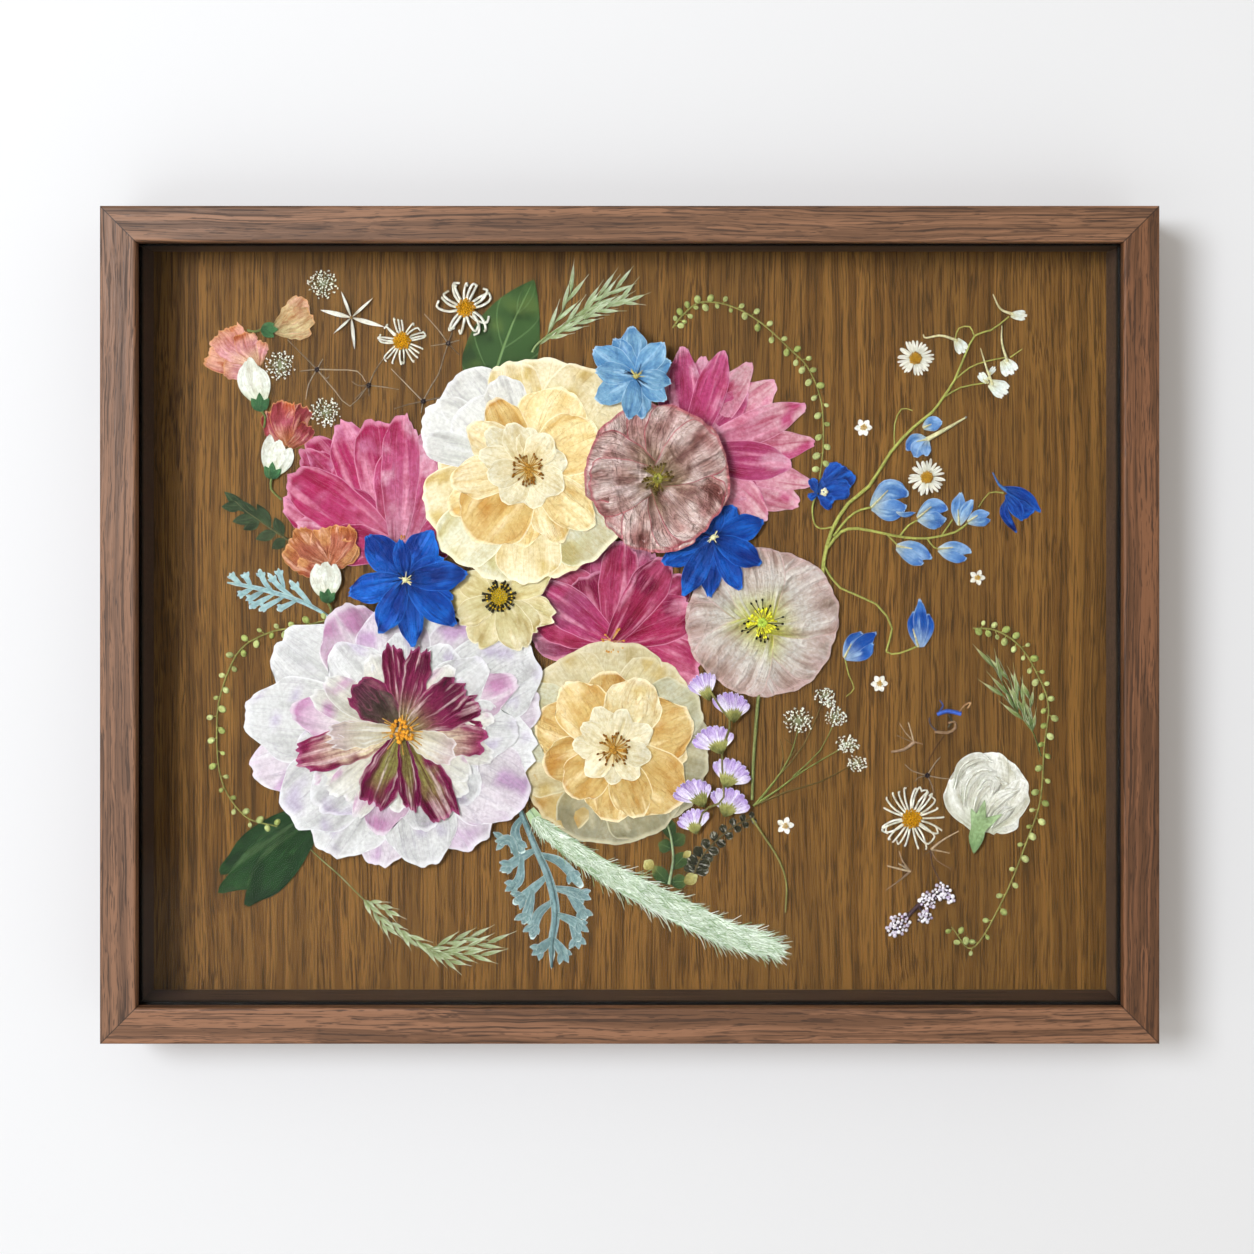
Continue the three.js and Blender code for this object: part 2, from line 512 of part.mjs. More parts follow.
function addRosebuds() {
  addRosebud('rosebud_1', 0, {
    petals: [[-156.8, 97.4], [-152.5, 106], [-149.4, 108.7], [-144, 106], [-135.6, 102.3], [-135, 92.5],
      [-144, 90.7], [-151.3, 93]],
    base: [[-140.3, 96.8], [-144, 90], [-144, 85.2], [-140.3, 81], [-136, 80], [-133.8, 83.3], [-134.1, 92]],
    calyx: [[-139.6, 81.5], [-136.6, 85.2], [-133.5, 82.1], [-134.7, 78.1], [-139.3, 78.4]],
    stem: [[-135.3, 79], [-134.4, 75.4], [-134.9, 71.5]],
  });
  addRosebud('rosebud_2', 0, {
    petals: [[-134.1, 69.9], [-131.7, 78.4], [-127.4, 81.5], [-119.5, 78.4], [-118.2, 68], [-124.3, 64.4],
      [-129.2, 65.6]],
    base: [[-134.1, 69.9], [-135.1, 61.3], [-134.1, 56.4], [-130, 54.6], [-124.3, 59], [-123.4, 62.2],
      [-127.4, 66]],
    calyx: [[-135.1, 56.4], [-133.2, 59.5], [-131.7, 56.4], [-130, 57.3], [-129.1, 54], [-132.3, 51.8],
      [-134.6, 53]],
    stem: [[-132, 53], [-132.3, 48.5], [-130.4, 45.5]],
  });
  addRosebud('rosebud_3', 1.5, {
    petals: [[-127.6, 25.7], [-126, 31.7], [-120, 33.2], [-112.4, 34], [-108.6, 36], [-103.2, 34],
      [-102.5, 27.6], [-106.4, 21.6], [-112.4, 19], [-117.7, 18.9]],
    base: [[-117.7, 17.8], [-116.9, 20], [-111.6, 20.4], [-108.2, 20.6], [-106.7, 17.8], [-108.6, 10],
      [-114.6, 10]],
    calyx: [[-114.3, 9.9], [-110.1, 11.6], [-108.2, 9.9], [-109.4, 7], [-112, 7]],
    stem: [[-110.9, 8], [-109.7, 4.2], [-111, 2.6]],
  });
  addRosebud('rosebud_4', 0, {
    petals: [[-132, 109.6], [-128, 114.5], [-119.5, 119.4], [-116.4, 108.4], [-118.8, 106], [-126.8, 105.3]],
    calyx: [[-134.7, 107], [-135.1, 110.2], [-132.3, 110.5], [-128.6, 107.8], [-130, 104.7], [-134.1, 104.1]],
  });
  press('rosebud_white', 0, WHITE_PETAL,
    sheet([[118, -60.1], [119.5, -52.7], [128.4, -48.3], [138, -51], [144.2, -55], [146.1, -60.1],
      [140.2, -67.8], [142.8, -71.5], [139.4, -76.3], [133.2, -78.2], [126.5, -76.3], [121, -71.1]]),
    sheet([[124, -56], [132, -53], [138, -57], [137, -65], [130, -70], [123, -64]], PETAL + 0.4),
    sheet([[126.5, -85.5], [125.8, -78.2], [128.4, -71], [130.6, -76], [137, -70.4], [131.3, -79.3]],
      PETAL + 0.6));
}

function addLarkspurSpray() {
  const stems = [
    [[70.8, 12], [72.3, 26], [77, 38.4], [83.7, 45.4], [94.8, 59.4], [105.5, 71.2], [112, 78.2],
      [118, 87], [123.2, 97.4], [131, 107.4], [139.8, 112.6]],
    [[71.6, 20], [77.5, 12], [90.8, 6], [96.6, -3], [94.4, -11.4], [99.5, -12], [107, -8.6]],
    [[73, 28], [80.8, 34.4], [94, 32], [114.4, 31], [123.6, 35.5]],
    [[101, 31.7], [107.6, 38.2]],
    [[77, 38], [87.8, 41.4], [94, 42.5]],
    [[110.7, 76.8], [121.7, 83], [131, 87]],
    [[118, 87], [129, 95.2], [138.3, 96.7]],
  ];
  const buds = [
    [[91.5, 43.2], [104.5, 47], 9], [[107, 37.7], [119, 40.3], 7.5], [[119.4, 33.4], [125, 47], 6.5],
    [[122.7, 34.8], [134, 38.5], 5.5], [[94, 31.5], [111.5, 22.6], 6.5], [[113, 31], [127, 24.7], 5],
    [[98, 63], [108, 56.5], 7], [[119, 105], [124.3, 98], 5], [[136, 96.5], [143, 90.5], 6.5],
    [[130.5, 86.8], [139.5, 82.5], 7], [[138.6, 112], [147, 113], 3.6], [[78.6, -14.4], [96.6, -5.5], 8],
    [[106.8, -10.5], [106.8, 8], 9],
  ];
  press('larkspur_spray', 0, PALE_BLUE_PETAL,
    stems.map((line) => stalk(line, 1.1)),
    buds.map(([base, tip, width]) => blade([base, tip], width, { steps: 2 })));
  press('larkspur_floret', 0, BLUE_PETAL, [
    [[135.5, 50], [151.2, 39.9]], [[138, 47.5], [141.5, 32.5]], [[138, 48.5], [146, 37.5]],
    [[139.5, 46], [133.5, 54.6]],
  ].map((line) => blade(line, 4.6, { steps: 3 })));
  press('delphinium_bud', 1, BLUE_PETAL,
    blade([[73, 43], [82, 50]], 11, { steps: 3 }), blade([[74, 44], [66.5, 46]], 5, { steps: 3 }));
}

// Six needle-like rays that meet in a point.
function addStar() {
  const centre = [-102.6, 111.8];
  const tips = [[-106.3, 121], [-95, 118.5], [-89.5, 108.1], [-101.4, 100.1], [-109.1, 106], [-114.3, 114.2]];
  press('star_flower', 1, WHITE_PETAL,
    bead(centre, 1), tips.map((tip) => blade([centre, tip], 1.3, { steps: 2 })));
}

function addSprays() {
  const statice = [
    [[28.8, -28.4], [24.4, -21.5]], [[38.4, -37.6], [36.9, -27.5]], [[33.9, -48], [28, -41]],
    [[33.9, -62.7], [41.5, -54]], [[25.8, -67.1], [20.5, -60]], [[33.9, -70], [38.5, -62.5]],
    [[24.7, -78.2], [22.5, -70]],
  ];
  const fan = (line) => blade(line, 11, { steps: 2, shape: (t) => 0.2 + 0.8 * Math.sqrt(t) });
  press('statice', 2.5, LILAC_PETAL,
    stalk([[30, -26.5], [36.9, -37.6], [33.9, -48.6], [33.9, -62.7], [25.8, -67.1], [24.7, -78.2]], 1.2, 8),
    statice.map(fan));

  press('fern', 0, DRY_BROWN,
    stalk([[46, -72], [38.7, -74.5], [31.4, -79.3], [25.8, -84.8], [23.6, -91.4]], 0.9),
    [
      [[38.7, -74.5], [36.2, -69.5]], [[36.1, -75.7], [40.4, -80]], [[32.5, -78.4], [30, -72.5]],
      [[29.8, -81.2], [34.4, -86]], [[25.8, -84.8], [21.6, -80]], [[24.7, -87.7], [31, -91.8]],
      [[23.9, -90], [22.1, -96]],
    ].map((line) => blade(line, 4.6, { steps: 2 })));
  press('leafy_sprig', 0, LEAF_GREEN,
    stalk([[14.4, -97], [15.9, -88.5], [15.1, -78.5], [14, -73]], 1),
    [
      [[15.1, -78.5], [11.5, -71]], [[15.7, -84], [8.6, -80.5]], [[15.5, -81.5], [20.6, -76.5]],
      [[15.5, -92.5], [22.6, -84.5]], [[14.8, -96], [7, -90]], [[14.6, -95.5], [20.5, -98]],
    ].map((line) => blade(line, 5.6, { steps: 2 })));
  press('lavender', 0, LILAC_PETAL,
    stalk([[96.7, -112.5], [101.5, -108.8], [106.2, -104], [112.5, -99.5], [118, -100.3]], 1.6),
    stalk([[106.2, -104], [109.5, -110]], 1.6),
    [[98, -112], [102.5, -109], [108, -104], [111, -99.5], [116.5, -100.5], [109.5, -110]]
      .map((place) => heart(place, 3.1, 1.4, 5)));
  press('babys_breath', 0, GRASS_GREEN,
    [
      [[45.6, -68.4], [53.5, -57.1], [62, -38]], [[46, -68], [62.7, -55.3], [80, -46]],
      [[62.7, -55.3], [76.3, -37]], [[46, -68.2], [62.7, -61.5], [82.4, -53]],
      [[53.5, -57.1], [68, -44], [72, -28]],
    ].map((line) => stalk(line, 0.9)),
    [[62, -36.5], [71.9, -27.2], [76.3, -36], [80.4, -45.7], [82.6, -53]]
      .map((place) => heart(place, 4, 1.2, 5)));
}

// Three loose clusters of tiny white blossoms.
function addBlossomClusters() {
  const clusters = [[-113.2, 124.4], [-128.7, 94.5], [-112.1, 76.8]];
  const spread = [[2.9, 0.7], [-2.9, 0.5], [0.9, -2.8], [-0.5, 2.8]];
  clusters.forEach(([x, y], i) => press(`blossom_cluster_${i + 1}`, 0, WHITE_PETAL,
    bead([x, y], 2.6, 5), spread.map(([dx, dy]) => bead([x + dx, y + dy], 1.6))));
}

addPeony();
addUpperRose();
addLowerRose();
addPinkFlowers();
addPoppies();
addBlueFlowers();
addDaisies();
addLeaves();
addSilverLeaves();
addGrasses();
addVines();
addRosebuds();
addLarkspurSpray();
addStar();
addSprays();
addBlossomClusters();

export default model;
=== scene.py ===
# %% [markdown]
# # A shadow box of pressed flowers
# The real object is a small picture frame: four walnut rails, a pane of glass, dark spacer strips and an
# oak board on which dried, flattened flowers lie. The solids give every piece its place and size.
# This script gives each one its finish, and makes the thin petals that a solid is too coarse for.

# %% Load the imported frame
import math
import random

import bmesh
import bpy
from mathutils import Matrix, Vector, noise


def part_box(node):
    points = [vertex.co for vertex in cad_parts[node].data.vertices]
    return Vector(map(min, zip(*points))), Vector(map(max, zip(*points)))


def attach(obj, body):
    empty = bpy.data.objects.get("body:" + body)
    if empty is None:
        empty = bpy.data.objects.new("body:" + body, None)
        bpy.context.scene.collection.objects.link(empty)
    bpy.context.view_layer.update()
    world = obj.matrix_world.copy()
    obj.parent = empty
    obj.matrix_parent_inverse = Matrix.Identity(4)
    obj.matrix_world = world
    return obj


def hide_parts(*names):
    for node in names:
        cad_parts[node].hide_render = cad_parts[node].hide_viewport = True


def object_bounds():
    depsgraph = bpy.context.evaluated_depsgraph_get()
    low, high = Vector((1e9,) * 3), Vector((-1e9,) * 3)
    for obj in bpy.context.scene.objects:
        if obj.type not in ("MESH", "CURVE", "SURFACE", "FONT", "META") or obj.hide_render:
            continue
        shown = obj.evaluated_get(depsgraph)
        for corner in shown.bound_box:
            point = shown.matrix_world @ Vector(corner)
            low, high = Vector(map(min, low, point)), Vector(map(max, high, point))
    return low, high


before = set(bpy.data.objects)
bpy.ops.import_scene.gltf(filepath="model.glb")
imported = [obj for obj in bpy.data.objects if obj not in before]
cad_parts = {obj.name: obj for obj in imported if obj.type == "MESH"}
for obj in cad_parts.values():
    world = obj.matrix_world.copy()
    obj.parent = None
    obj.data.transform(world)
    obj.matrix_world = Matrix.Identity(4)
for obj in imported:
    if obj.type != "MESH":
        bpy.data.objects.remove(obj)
cad_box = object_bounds()
MM = 0.001
print("nodes in the frame:", len(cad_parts))

# %% [markdown]
# The box hangs flat on a wall and is seen square on, from a little above its middle. A level camera with
# a vertical shift keeps all four sides parallel, as a view camera with a rising front does.

# %% Camera
CAMERA_DISTANCE = 800 * MM
CAMERA_X = 3.7 * MM
CAMERA_Z = 48 * MM
SENSOR_MM = 36
LENS_MM = 64.44
SHIFT = (-0.0104, -0.109)
front_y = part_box("rail_top")[0].y
camera = bpy.data.objects.new("camera", bpy.data.cameras.new("camera"))
camera.data.sensor_width = SENSOR_MM
camera.data.lens = LENS_MM
camera.data.shift_x, camera.data.shift_y = SHIFT
camera.location = (CAMERA_X, front_y - CAMERA_DISTANCE, CAMERA_Z)
camera.rotation_euler = (math.radians(90), 0, 0)
bpy.context.scene.collection.objects.link(camera)
bpy.context.scene.camera = camera
print("camera stands", CAMERA_DISTANCE, "m in front of the rails")

# %% [markdown]
# Every colour is written as the sRGB hex that a colour picker shows, and one function turns it to the
# linear values that Blender works with. One more function adds a node with its settings and links. Most
# finishes are coats: a colour laid over another one where some pattern is strong, as a stain or a glaze is.

# %% Colour and node helpers
def linear(hex_code):
    """The linear RGBA of an sRGB hex colour such as #7e5a44."""
    parts = [int(hex_code[i:i + 2], 16) / 255 for i in (1, 3, 5)]
    return [c / 12.92 if c <= 0.04045 else ((c + 0.055) / 1.055) ** 2.4 for c in parts] + [1.0]


def add(tree, kind, inputs=None, **settings):
    """Adds a node. An input is given a value, a hex colour, or the socket that feeds it."""
    made = tree.nodes.new(kind)
    for name, value in settings.items():
        setattr(made, name, value)
    for name, value in (inputs or {}).items():
        if isinstance(value, bpy.types.NodeSocket):
            tree.links.new(value, made.inputs[name])
        else:
            made.inputs[name].default_value = linear(value) if isinstance(value, str) else value
    return made


def start_material(name, **sockets):
    """A new material with its shader's plain values set, and the tree and shader to build on."""
    made = bpy.data.materials.new(name)
    made.use_nodes = True
    tree = made.node_tree
    shader = tree.nodes["Principled BSDF"]
    for socket, value in sockets.items():
        shader.inputs[socket.replace("_", " ")].default_value = value
    return made, tree, shader


def coat(tree, under, over, pattern, low, high, start=0.0, end=1.0, mode="MIX"):
    """Lays a colour over another. Its share goes from start to end as a pattern goes from low to high."""
    span = {"Value": pattern, "From Min": low, "From Max": high, "To Min": start, "To Max": end}
    share = add(tree, "ShaderNodeMapRange", span, interpolation_type="SMOOTHSTEP").outputs[0]
    colours = {0: share, 6: under, 7: over}
    return add(tree, "ShaderNodeMix", colours, data_type="RGBA", blend_type=mode).outputs[2]


print("white in linear values:", linear("#ffffff"))

# %% [markdown]
# The stage is a pale wall just behind the box and a floor well below it. The wall is a single face that
# is clear from behind, so the back of the box can be looked at. It throws no shadow and is left out of the
# light that bounces and of reflections, so that daylight reaches the back and its metal has a room to mirror.

# %% Wall and floor
WALL_GAP = 0.5 * MM
FLOOR_DROP = 300 * MM
low, high = (Vector(corner) for corner in cad_box)


def stage_plane(name, size, place, turn, material):
    """A square face of the stage."""
    bm = bmesh.new()
    bmesh.ops.create_grid(bm, x_segments=1, y_segments=1, size=size / 2)
    bmesh.ops.rotate(bm, verts=bm.verts, cent=(0, 0, 0), matrix=Matrix.Rotation(turn, 3, "X"))
    bmesh.ops.translate(bm, verts=bm.verts, vec=place)
    mesh = bpy.data.meshes.new(name)
    bm.to_mesh(mesh)
    bm.free()
    mesh.materials.append(material)
    made = bpy.data.objects.new(name, mesh)
    bpy.context.scene.collection.objects.link(made)
    return made


paint, tree, shader = start_material("wall paint, matt white", Base_Color=linear("#eceff3"), Roughness=0.9)
shader.inputs["Specular IOR Level"].default_value = 0.2
geometry = add(tree, "ShaderNodeNewGeometry")
clear = add(tree, "ShaderNodeBsdfTransparent")
sides = add(tree, "ShaderNodeMixShader",
            {0: geometry.outputs["Backfacing"], 1: shader.outputs[0], 2: clear.outputs[0]})
tree.links.new(sides.outputs[0], tree.nodes["Material Output"].inputs[0])
wall = stage_plane("wall", 6, (0, high.y + WALL_GAP, 0.8), math.radians(90), paint)
wall.visible_shadow = False
wall.visible_diffuse = False
wall.visible_glossy = False
floor_paint, _, _ = start_material("floor, pale matt", Base_Color=linear("#e6e4e2"), Roughness=0.85)
floor = stage_plane("floor", 6, (0, 0, low.z - FLOOR_DROP), 0, floor_paint)
print("stage:", wall.name, floor.name)

# %% [markdown]
# A large soft light stands high on the left, as from a window, so the lip shades the top and the left of
# the board. It is round and well to the side, so that its mirror image in the glass falls outside the
# frame. The rest of the light comes evenly from the room.

# %% Lights
WINDOW_PLACE = Vector((-1.05, -1.95, 0.46))
WINDOW_ACROSS = 0.85
WINDOW_POWER = 32.6
ROOM_STRENGTH = 0.54
window = bpy.data.objects.new("window", bpy.data.lights.new("window", "AREA"))
window.data.shape = "DISK"
window.data.size = WINDOW_ACROSS
window.data.energy = WINDOW_POWER
window.data.color = linear("#f8fbff")[:3]
window.location = WINDOW_PLACE
window.rotation_euler = (-WINDOW_PLACE).to_track_quat("-Z", "Y").to_euler()
bpy.context.scene.collection.objects.link(window)
world = bpy.data.worlds.new("room")
world.use_nodes = True
world.node_tree.nodes["Background"].inputs["Color"].default_value = linear("#fff6ea")
world.node_tree.nodes["Background"].inputs["Strength"].default_value = ROOM_STRENGTH
bpy.context.scene.world = world
print("the window is", round(WINDOW_PLACE.length, 2), "m from the board")

# %% [markdown]
# ## Wood
# Oiled walnut and satin oak are the same thing to the eye: a few layers of streaks drawn out along the
# grain. Wide ones are the growth rings, thin dark ones the late wood, and short dashes the open pores.
# Each layer is noise that is stretched along the board, so its scale is a width and a length in mm. Where
# two rails meet at a corner, a hair of dark glue shows.

# %% Wood finishes
def streaks(tree, along, across_mm, length_mm, shift, detail=3.0, roughness=0.55, warp=None):
    """Noise stretched along one axis (0 for X, 2 for Z)."""
    place = add(tree, "ShaderNodeTexCoord").outputs["Object"]
    if warp is not None:
        place = add(tree, "ShaderNodeVectorMath", {0: place, 1: warp}, operation="ADD").outputs[0]
    scale = [1 / (across_mm * MM)] * 3
    scale[along] = 1 / (length_mm * MM)
    mapped = add(tree, "ShaderNodeMapping", {"Vector": place, "Location": shift, "Scale": scale})
    made = add(tree, "ShaderNodeTexNoise", {"Vector": mapped.outputs[0], "Scale": 1.0, "Detail": detail,
                                            "Roughness": roughness})
    return made.outputs[0]


def wander(tree, along, reach_mm, size_mm, shift):
    """A slow sideways drift that bends straight grain into long waves."""
    place = add(tree, "ShaderNodeTexCoord").outputs["Object"]
    scale = [1 / (size_mm * MM)] * 3
    scale[along] = 0.25 / (size_mm * MM)
    mapped = add(tree, "ShaderNodeMapping", {"Vector": place, "Location": shift, "Scale": scale})
    made = add(tree, "ShaderNodeTexNoise", {"Vector": mapped.outputs[0], "Scale": 1.0, "Detail": 1.0})
    centred = add(tree, "ShaderNodeVectorMath", {0: made.outputs[1], 1: (0.5, 0.5, 0.5)},
                  operation="SUBTRACT")
    reach = add(tree, "ShaderNodeVectorMath", {0: centred.outputs[0], "Scale": 2 * reach_mm * MM},
                operation="SCALE")
    return reach.outputs[0]


def waves(tree, along, long_mm, short_mm, shift):
    """Long waves with short ones on top, as grain has where a branch once stood."""
    drawn = (wander(tree, along, long_mm, 45, shift), wander(tree, along, short_mm, 6, shift))
    return add(tree, "ShaderNodeVectorMath", {0: drawn[0], 1: drawn[1]}, operation="ADD").outputs[0]


left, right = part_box("rail_left")[0].x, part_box("rail_right")[1].x
foot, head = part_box("rail_bottom")[0].z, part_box("rail_top")[1].z
MIDDLE = Vector(((left + right) / 2, 0, (foot + head) / 2))
JOINT = (right - left - head + foot) / 2
print("corner joints start", round(JOINT / MM, 1), "mm out from the middle")


def joint_distance(tree):
    """How far each place is from the line of the nearest corner joint."""
    place = add(tree, "ShaderNodeTexCoord").outputs["Object"]
    centred = add(tree, "ShaderNodeVectorMath", {0: place, 1: MIDDLE}, operation="SUBTRACT").outputs[0]
    folded = add(tree, "ShaderNodeVectorMath", {0: centred}, operation="ABSOLUTE").outputs[0]
    apart = add(tree, "ShaderNodeVectorMath", {0: folded, 1: (1, 0, -1)}, operation="DOT_PRODUCT")
    off = add(tree, "ShaderNodeMath", {0: apart.outputs[1], 1: JOINT}, operation="SUBTRACT").outputs[0]
    return add(tree, "ShaderNodeMath", {0: off}, operation="ABSOLUTE").outputs[0]


# %% [markdown]
# Walnut is the darker and cooler of the two, and each rail is cut from another place in the plank, so each
# has its own three browns and its own shift of the pattern. Oak veneer is golden, with many short pores.

# %% Walnut and oak
def walnut(name, along, light, middle, dark, shift):
    """Walnut, planed and oiled: brown with grey-brown streaks, a low gloss and fine open pores."""
    made, tree, shader = start_material(name, Roughness=0.5, IOR=1.48, Specular_IOR_Level=0.4)
    drift = waves(tree, along, 5, 0.9, shift)
    rings = streaks(tree, along, 2.8, 150, shift, 3.0, 0.6, drift)
    late = streaks(tree, along, 0.65, 95, shift, 3.0, 0.6, drift)
    pores = streaks(tree, along, 0.4, 6.5, shift, 1.0, 0.5, drift)
    colour = coat(tree, middle, light, rings, 0.4, 0.6)
    colour = coat(tree, colour, dark, late, 0.5, 0.62, 0, 0.7)
    colour = coat(tree, colour, dark, pores, 0.6, 0.68, 0, 0.6)
    colour = coat(tree, colour, "#24160e", joint_distance(tree), 0.15 * MM, 0.4 * MM, 0.75, 0.0)
    tree.links.new(colour, shader.inputs["Base Color"])
    span = {"Value": late, "From Min": 0.3, "From Max": 0.7, "To Min": 0.38, "To Max": 0.54}
    gloss = add(tree, "ShaderNodeMapRange", span, interpolation_type="SMOOTHSTEP")
    tree.links.new(gloss.outputs[0], shader.inputs["Roughness"])
    relief = add(tree, "ShaderNodeBump", {"Strength": 0.35, "Distance": 0.15 * MM, "Height": pores},
                 invert=True)
    tree.links.new(relief.outputs[0], shader.inputs["Normal"])
    return made


def oak():
    """Oak veneer under satin varnish: golden brown with dark pore dashes along the grain."""
    made, tree, shader = start_material("oak veneer, matt varnish", Roughness=0.6, IOR=1.5,
                                        Specular_IOR_Level=0.12)
    shift = (3.1, 0.7, 1.9)
    drift = waves(tree, 2, 5, 0.6, shift)
    bands = streaks(tree, 2, 34, 900, shift, 2.0, 0.5, drift)
    rings = streaks(tree, 2, 3.0, 260, shift, 3.0, 0.55, drift)
    fine = streaks(tree, 2, 0.55, 50, (1.7, 0.4, 5.2), 2.0, 0.6, drift)
    pores = streaks(tree, 2, 0.42, 11, shift, 1.0, 0.5, drift)
    colour = coat(tree, "#5e3f18", "#7c5726", rings, 0.4, 0.6)
    colour = coat(tree, colour, "#65471f", bands, 0.35, 0.7, 0, 0.6)
    colour = coat(tree, colour, "#3f2810", fine, 0.52, 0.59, 0, 0.8)
    colour = coat(tree, colour, "#2f1f0b", pores, 0.56, 0.66, 0, 0.6)
    tree.links.new(colour, shader.inputs["Base Color"])
    relief = add(tree, "ShaderNodeBump", {"Strength": 0.3, "Distance": 0.12 * MM, "Height": pores},
                 invert=True)
    tree.links.new(relief.outputs[0], shader.inputs["Normal"])
    return made


WALNUT = {
    "rail_top": walnut("walnut oiled, top rail", 0, "#966d51", "#6f4f39", "#34231a", (0.3, 0.1, 0.7)),
    "rail_bottom": walnut("walnut oiled, bottom rail", 0, "#976c50", "#704e37", "#372419", (2.3, 0.4, 1.7)),
    "rail_left": walnut("walnut oiled, left rail", 2, "#90694f", "#6e4f3b", "#34251d", (5.3, 0.2, 0.1)),
    "rail_right": walnut("walnut oiled, right rail", 2, "#84593c", "#5e3e27", "#301d12", (7.3, 0.6, 2.1)),
}
OAK = oak()
print("wood finishes:", len(WALNUT) + 1)

# %% [markdown]
# ## Rails
# A machined rail is never quite sharp: sanding rounds every edge a little, and that thin round catches
# the light. So a copy of each solid gets a small bevel, and the solid itself stays as it is. A glued
# mitre has no gap: its faces are drawn together until they meet, and their edges stay sharp.

# %% Rails
SANDED = 0.4 * MM


def merged_copy(node):
    """A copy of a node's mesh as a bmesh, with its loose triangles joined into flat faces."""
    bm = bmesh.new()
    bm.from_mesh(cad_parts[node].data)
    bmesh.ops.remove_doubles(bm, verts=bm.verts, dist=1e-6)
    bmesh.ops.dissolve_limit(bm, angle_limit=math.radians(1), verts=bm.verts, edges=bm.edges)
    return bm


def soften(bm, width, segments=2, kept=()):
    """Rounds the edges between faces that meet at more than 30 degrees, but for those of the kept faces."""
    sharp = [e for e in bm.edges if e.calc_face_angle(0) > math.radians(30) and not {*kept} & {*e.link_faces}]
    bmesh.ops.bevel(bm, geom=sharp, offset=width, segments=segments, affect="EDGES", profile=0.5,
                    material=-1)


def show(bm, name, materials, nodes, smooth=False):
    """Turns a bmesh into a piece that rides on the frame and stands for its nodes."""
    mesh = bpy.data.meshes.new(name)
    for face in bm.faces:
        face.smooth = smooth
    for edge in bm.edges:
        edge.smooth = edge.calc_face_angle(0) < math.radians(75)
    bm.to_mesh(mesh)
    bm.free()
    for material in materials:
        mesh.materials.append(material)
    piece = bpy.data.objects.new(name, mesh)
    bpy.context.scene.collection.objects.link(piece)
    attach(piece, "root")
    if nodes:
        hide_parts(*nodes)
    print(f"{name}: {len(mesh.polygons)} faces")


for node, finish in WALNUT.items():
    bm = merged_copy(node)
    mitres = [f for f in bm.faces if abs(abs(f.normal.x) - abs(f.normal.z)) < 0.01 < abs(f.normal.x)]
    across = node in ("rail_top", "rail_bottom")
    for vert in {v for f in mitres for v in f.verts}:
        away = vert.co - MIDDLE
        if across:
            vert.co.x = MIDDLE.x + math.copysign(abs(away.z) + JOINT, away.x)
        else:
            vert.co.z = MIDDLE.z + math.copysign(abs(away.x) - JOINT, away.z)
    soften(bm, SANDED, kept=mitres)
    show(bm, node + "_sanded", [finish], [node])

# %% [markdown]
# ## Board, spacers and glass
# The board keeps its solid and only gets its veneer. The spacers are thin strips stained dark brown, with
# the odd worn fleck, and a near-black painted shadow along their front edge, where the lip shades them.
# The glass is the coated kind that galleries use. Its coating lets only about half a percent of the light
# bounce off each side, and so low an IOR gives that, so the flowers keep their depth of colour. It throws
# no shadow on them.

# %% Board, spacers and glass
# How far behind the front edge the painted shadow on the spacers fades out
PAINTED_SHADOW_BAND = (2.4 * MM, 3.2 * MM)


def finish_node(node, material):
    """Gives a solid that stays in view its finish."""
    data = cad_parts[node].data
    data.materials.clear()
    data.materials.append(material)


def spacer_stain_and_shadow():
    """Soft wood, stained dark and left matt, worn pale in a few small places, and painted near black at the
    front edge as a shadow.
    """
    made, tree, shader = start_material("spacer strip, dark stain", Roughness=0.6, Specular_IOR_Level=0.15)
    grain = streaks(tree, 0, 1.1, 40, (0.2, 0.4, 0.6))
    flecks = streaks(tree, 0, 1.6, 2.2, (1.2, 3.4, 0.6), 2.0, 0.6)
    colour = coat(tree, "#3b2c24", "#594334", grain, 0.35, 0.65)
    colour = coat(tree, colour, "#8a7358", flecks, 0.7, 0.76, 0, 0.5)
    place = add(tree, "ShaderNodeTexCoord").outputs["Object"]
    depth = add(tree, "ShaderNodeSeparateXYZ", {0: place}).outputs[1]
    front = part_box("spacer_bottom")[0].y
    # painted shadow: the front of each strip, where the lip shades it, is painted near black
    colour = coat(tree, colour, "#0b0807", depth, front + PAINTED_SHADOW_BAND[0], front + PAINTED_SHADOW_BAND[1], 1, 0)
    tree.links.new(colour, shader.inputs["Base Color"])
    relief = add(tree, "ShaderNodeBump", {"Strength": 0.3, "Distance": 0.1 * MM, "Height": grain})
    tree.links.new(relief.outputs[0], shader.inputs["Normal"])
    return made


finish_node("oak_board", OAK)
SPACER_STAIN_AND_SHADOW = spacer_stain_and_shadow()
for side in ("top", "bottom", "left", "right"):
    bm = merged_copy("spacer_" + side)
    soften(bm, 0.3 * MM)
    show(bm, f"spacer_{side}_strip", [SPACER_STAIN_AND_SHADOW], ["spacer_" + side])

glass, _, _ = start_material("picture glass, low reflection", Base_Color=linear("#fafcfb"), Roughness=0.0,
                             IOR=1.13, Transmission_Weight=1.0)
finish_node("glass", glass)
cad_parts["glass"].visible_shadow = False

# %% [markdown]
# ## Hardware
# The hanger is stamped from zinc-plated steel and held by two small pins. The bumpers are moulded rubber
# domes. They face the wall, so they are plain, but their edges are still rounded as real ones are. The
# plate is made thinner by the height of the pins' heads, so that the heads end where the solid does.

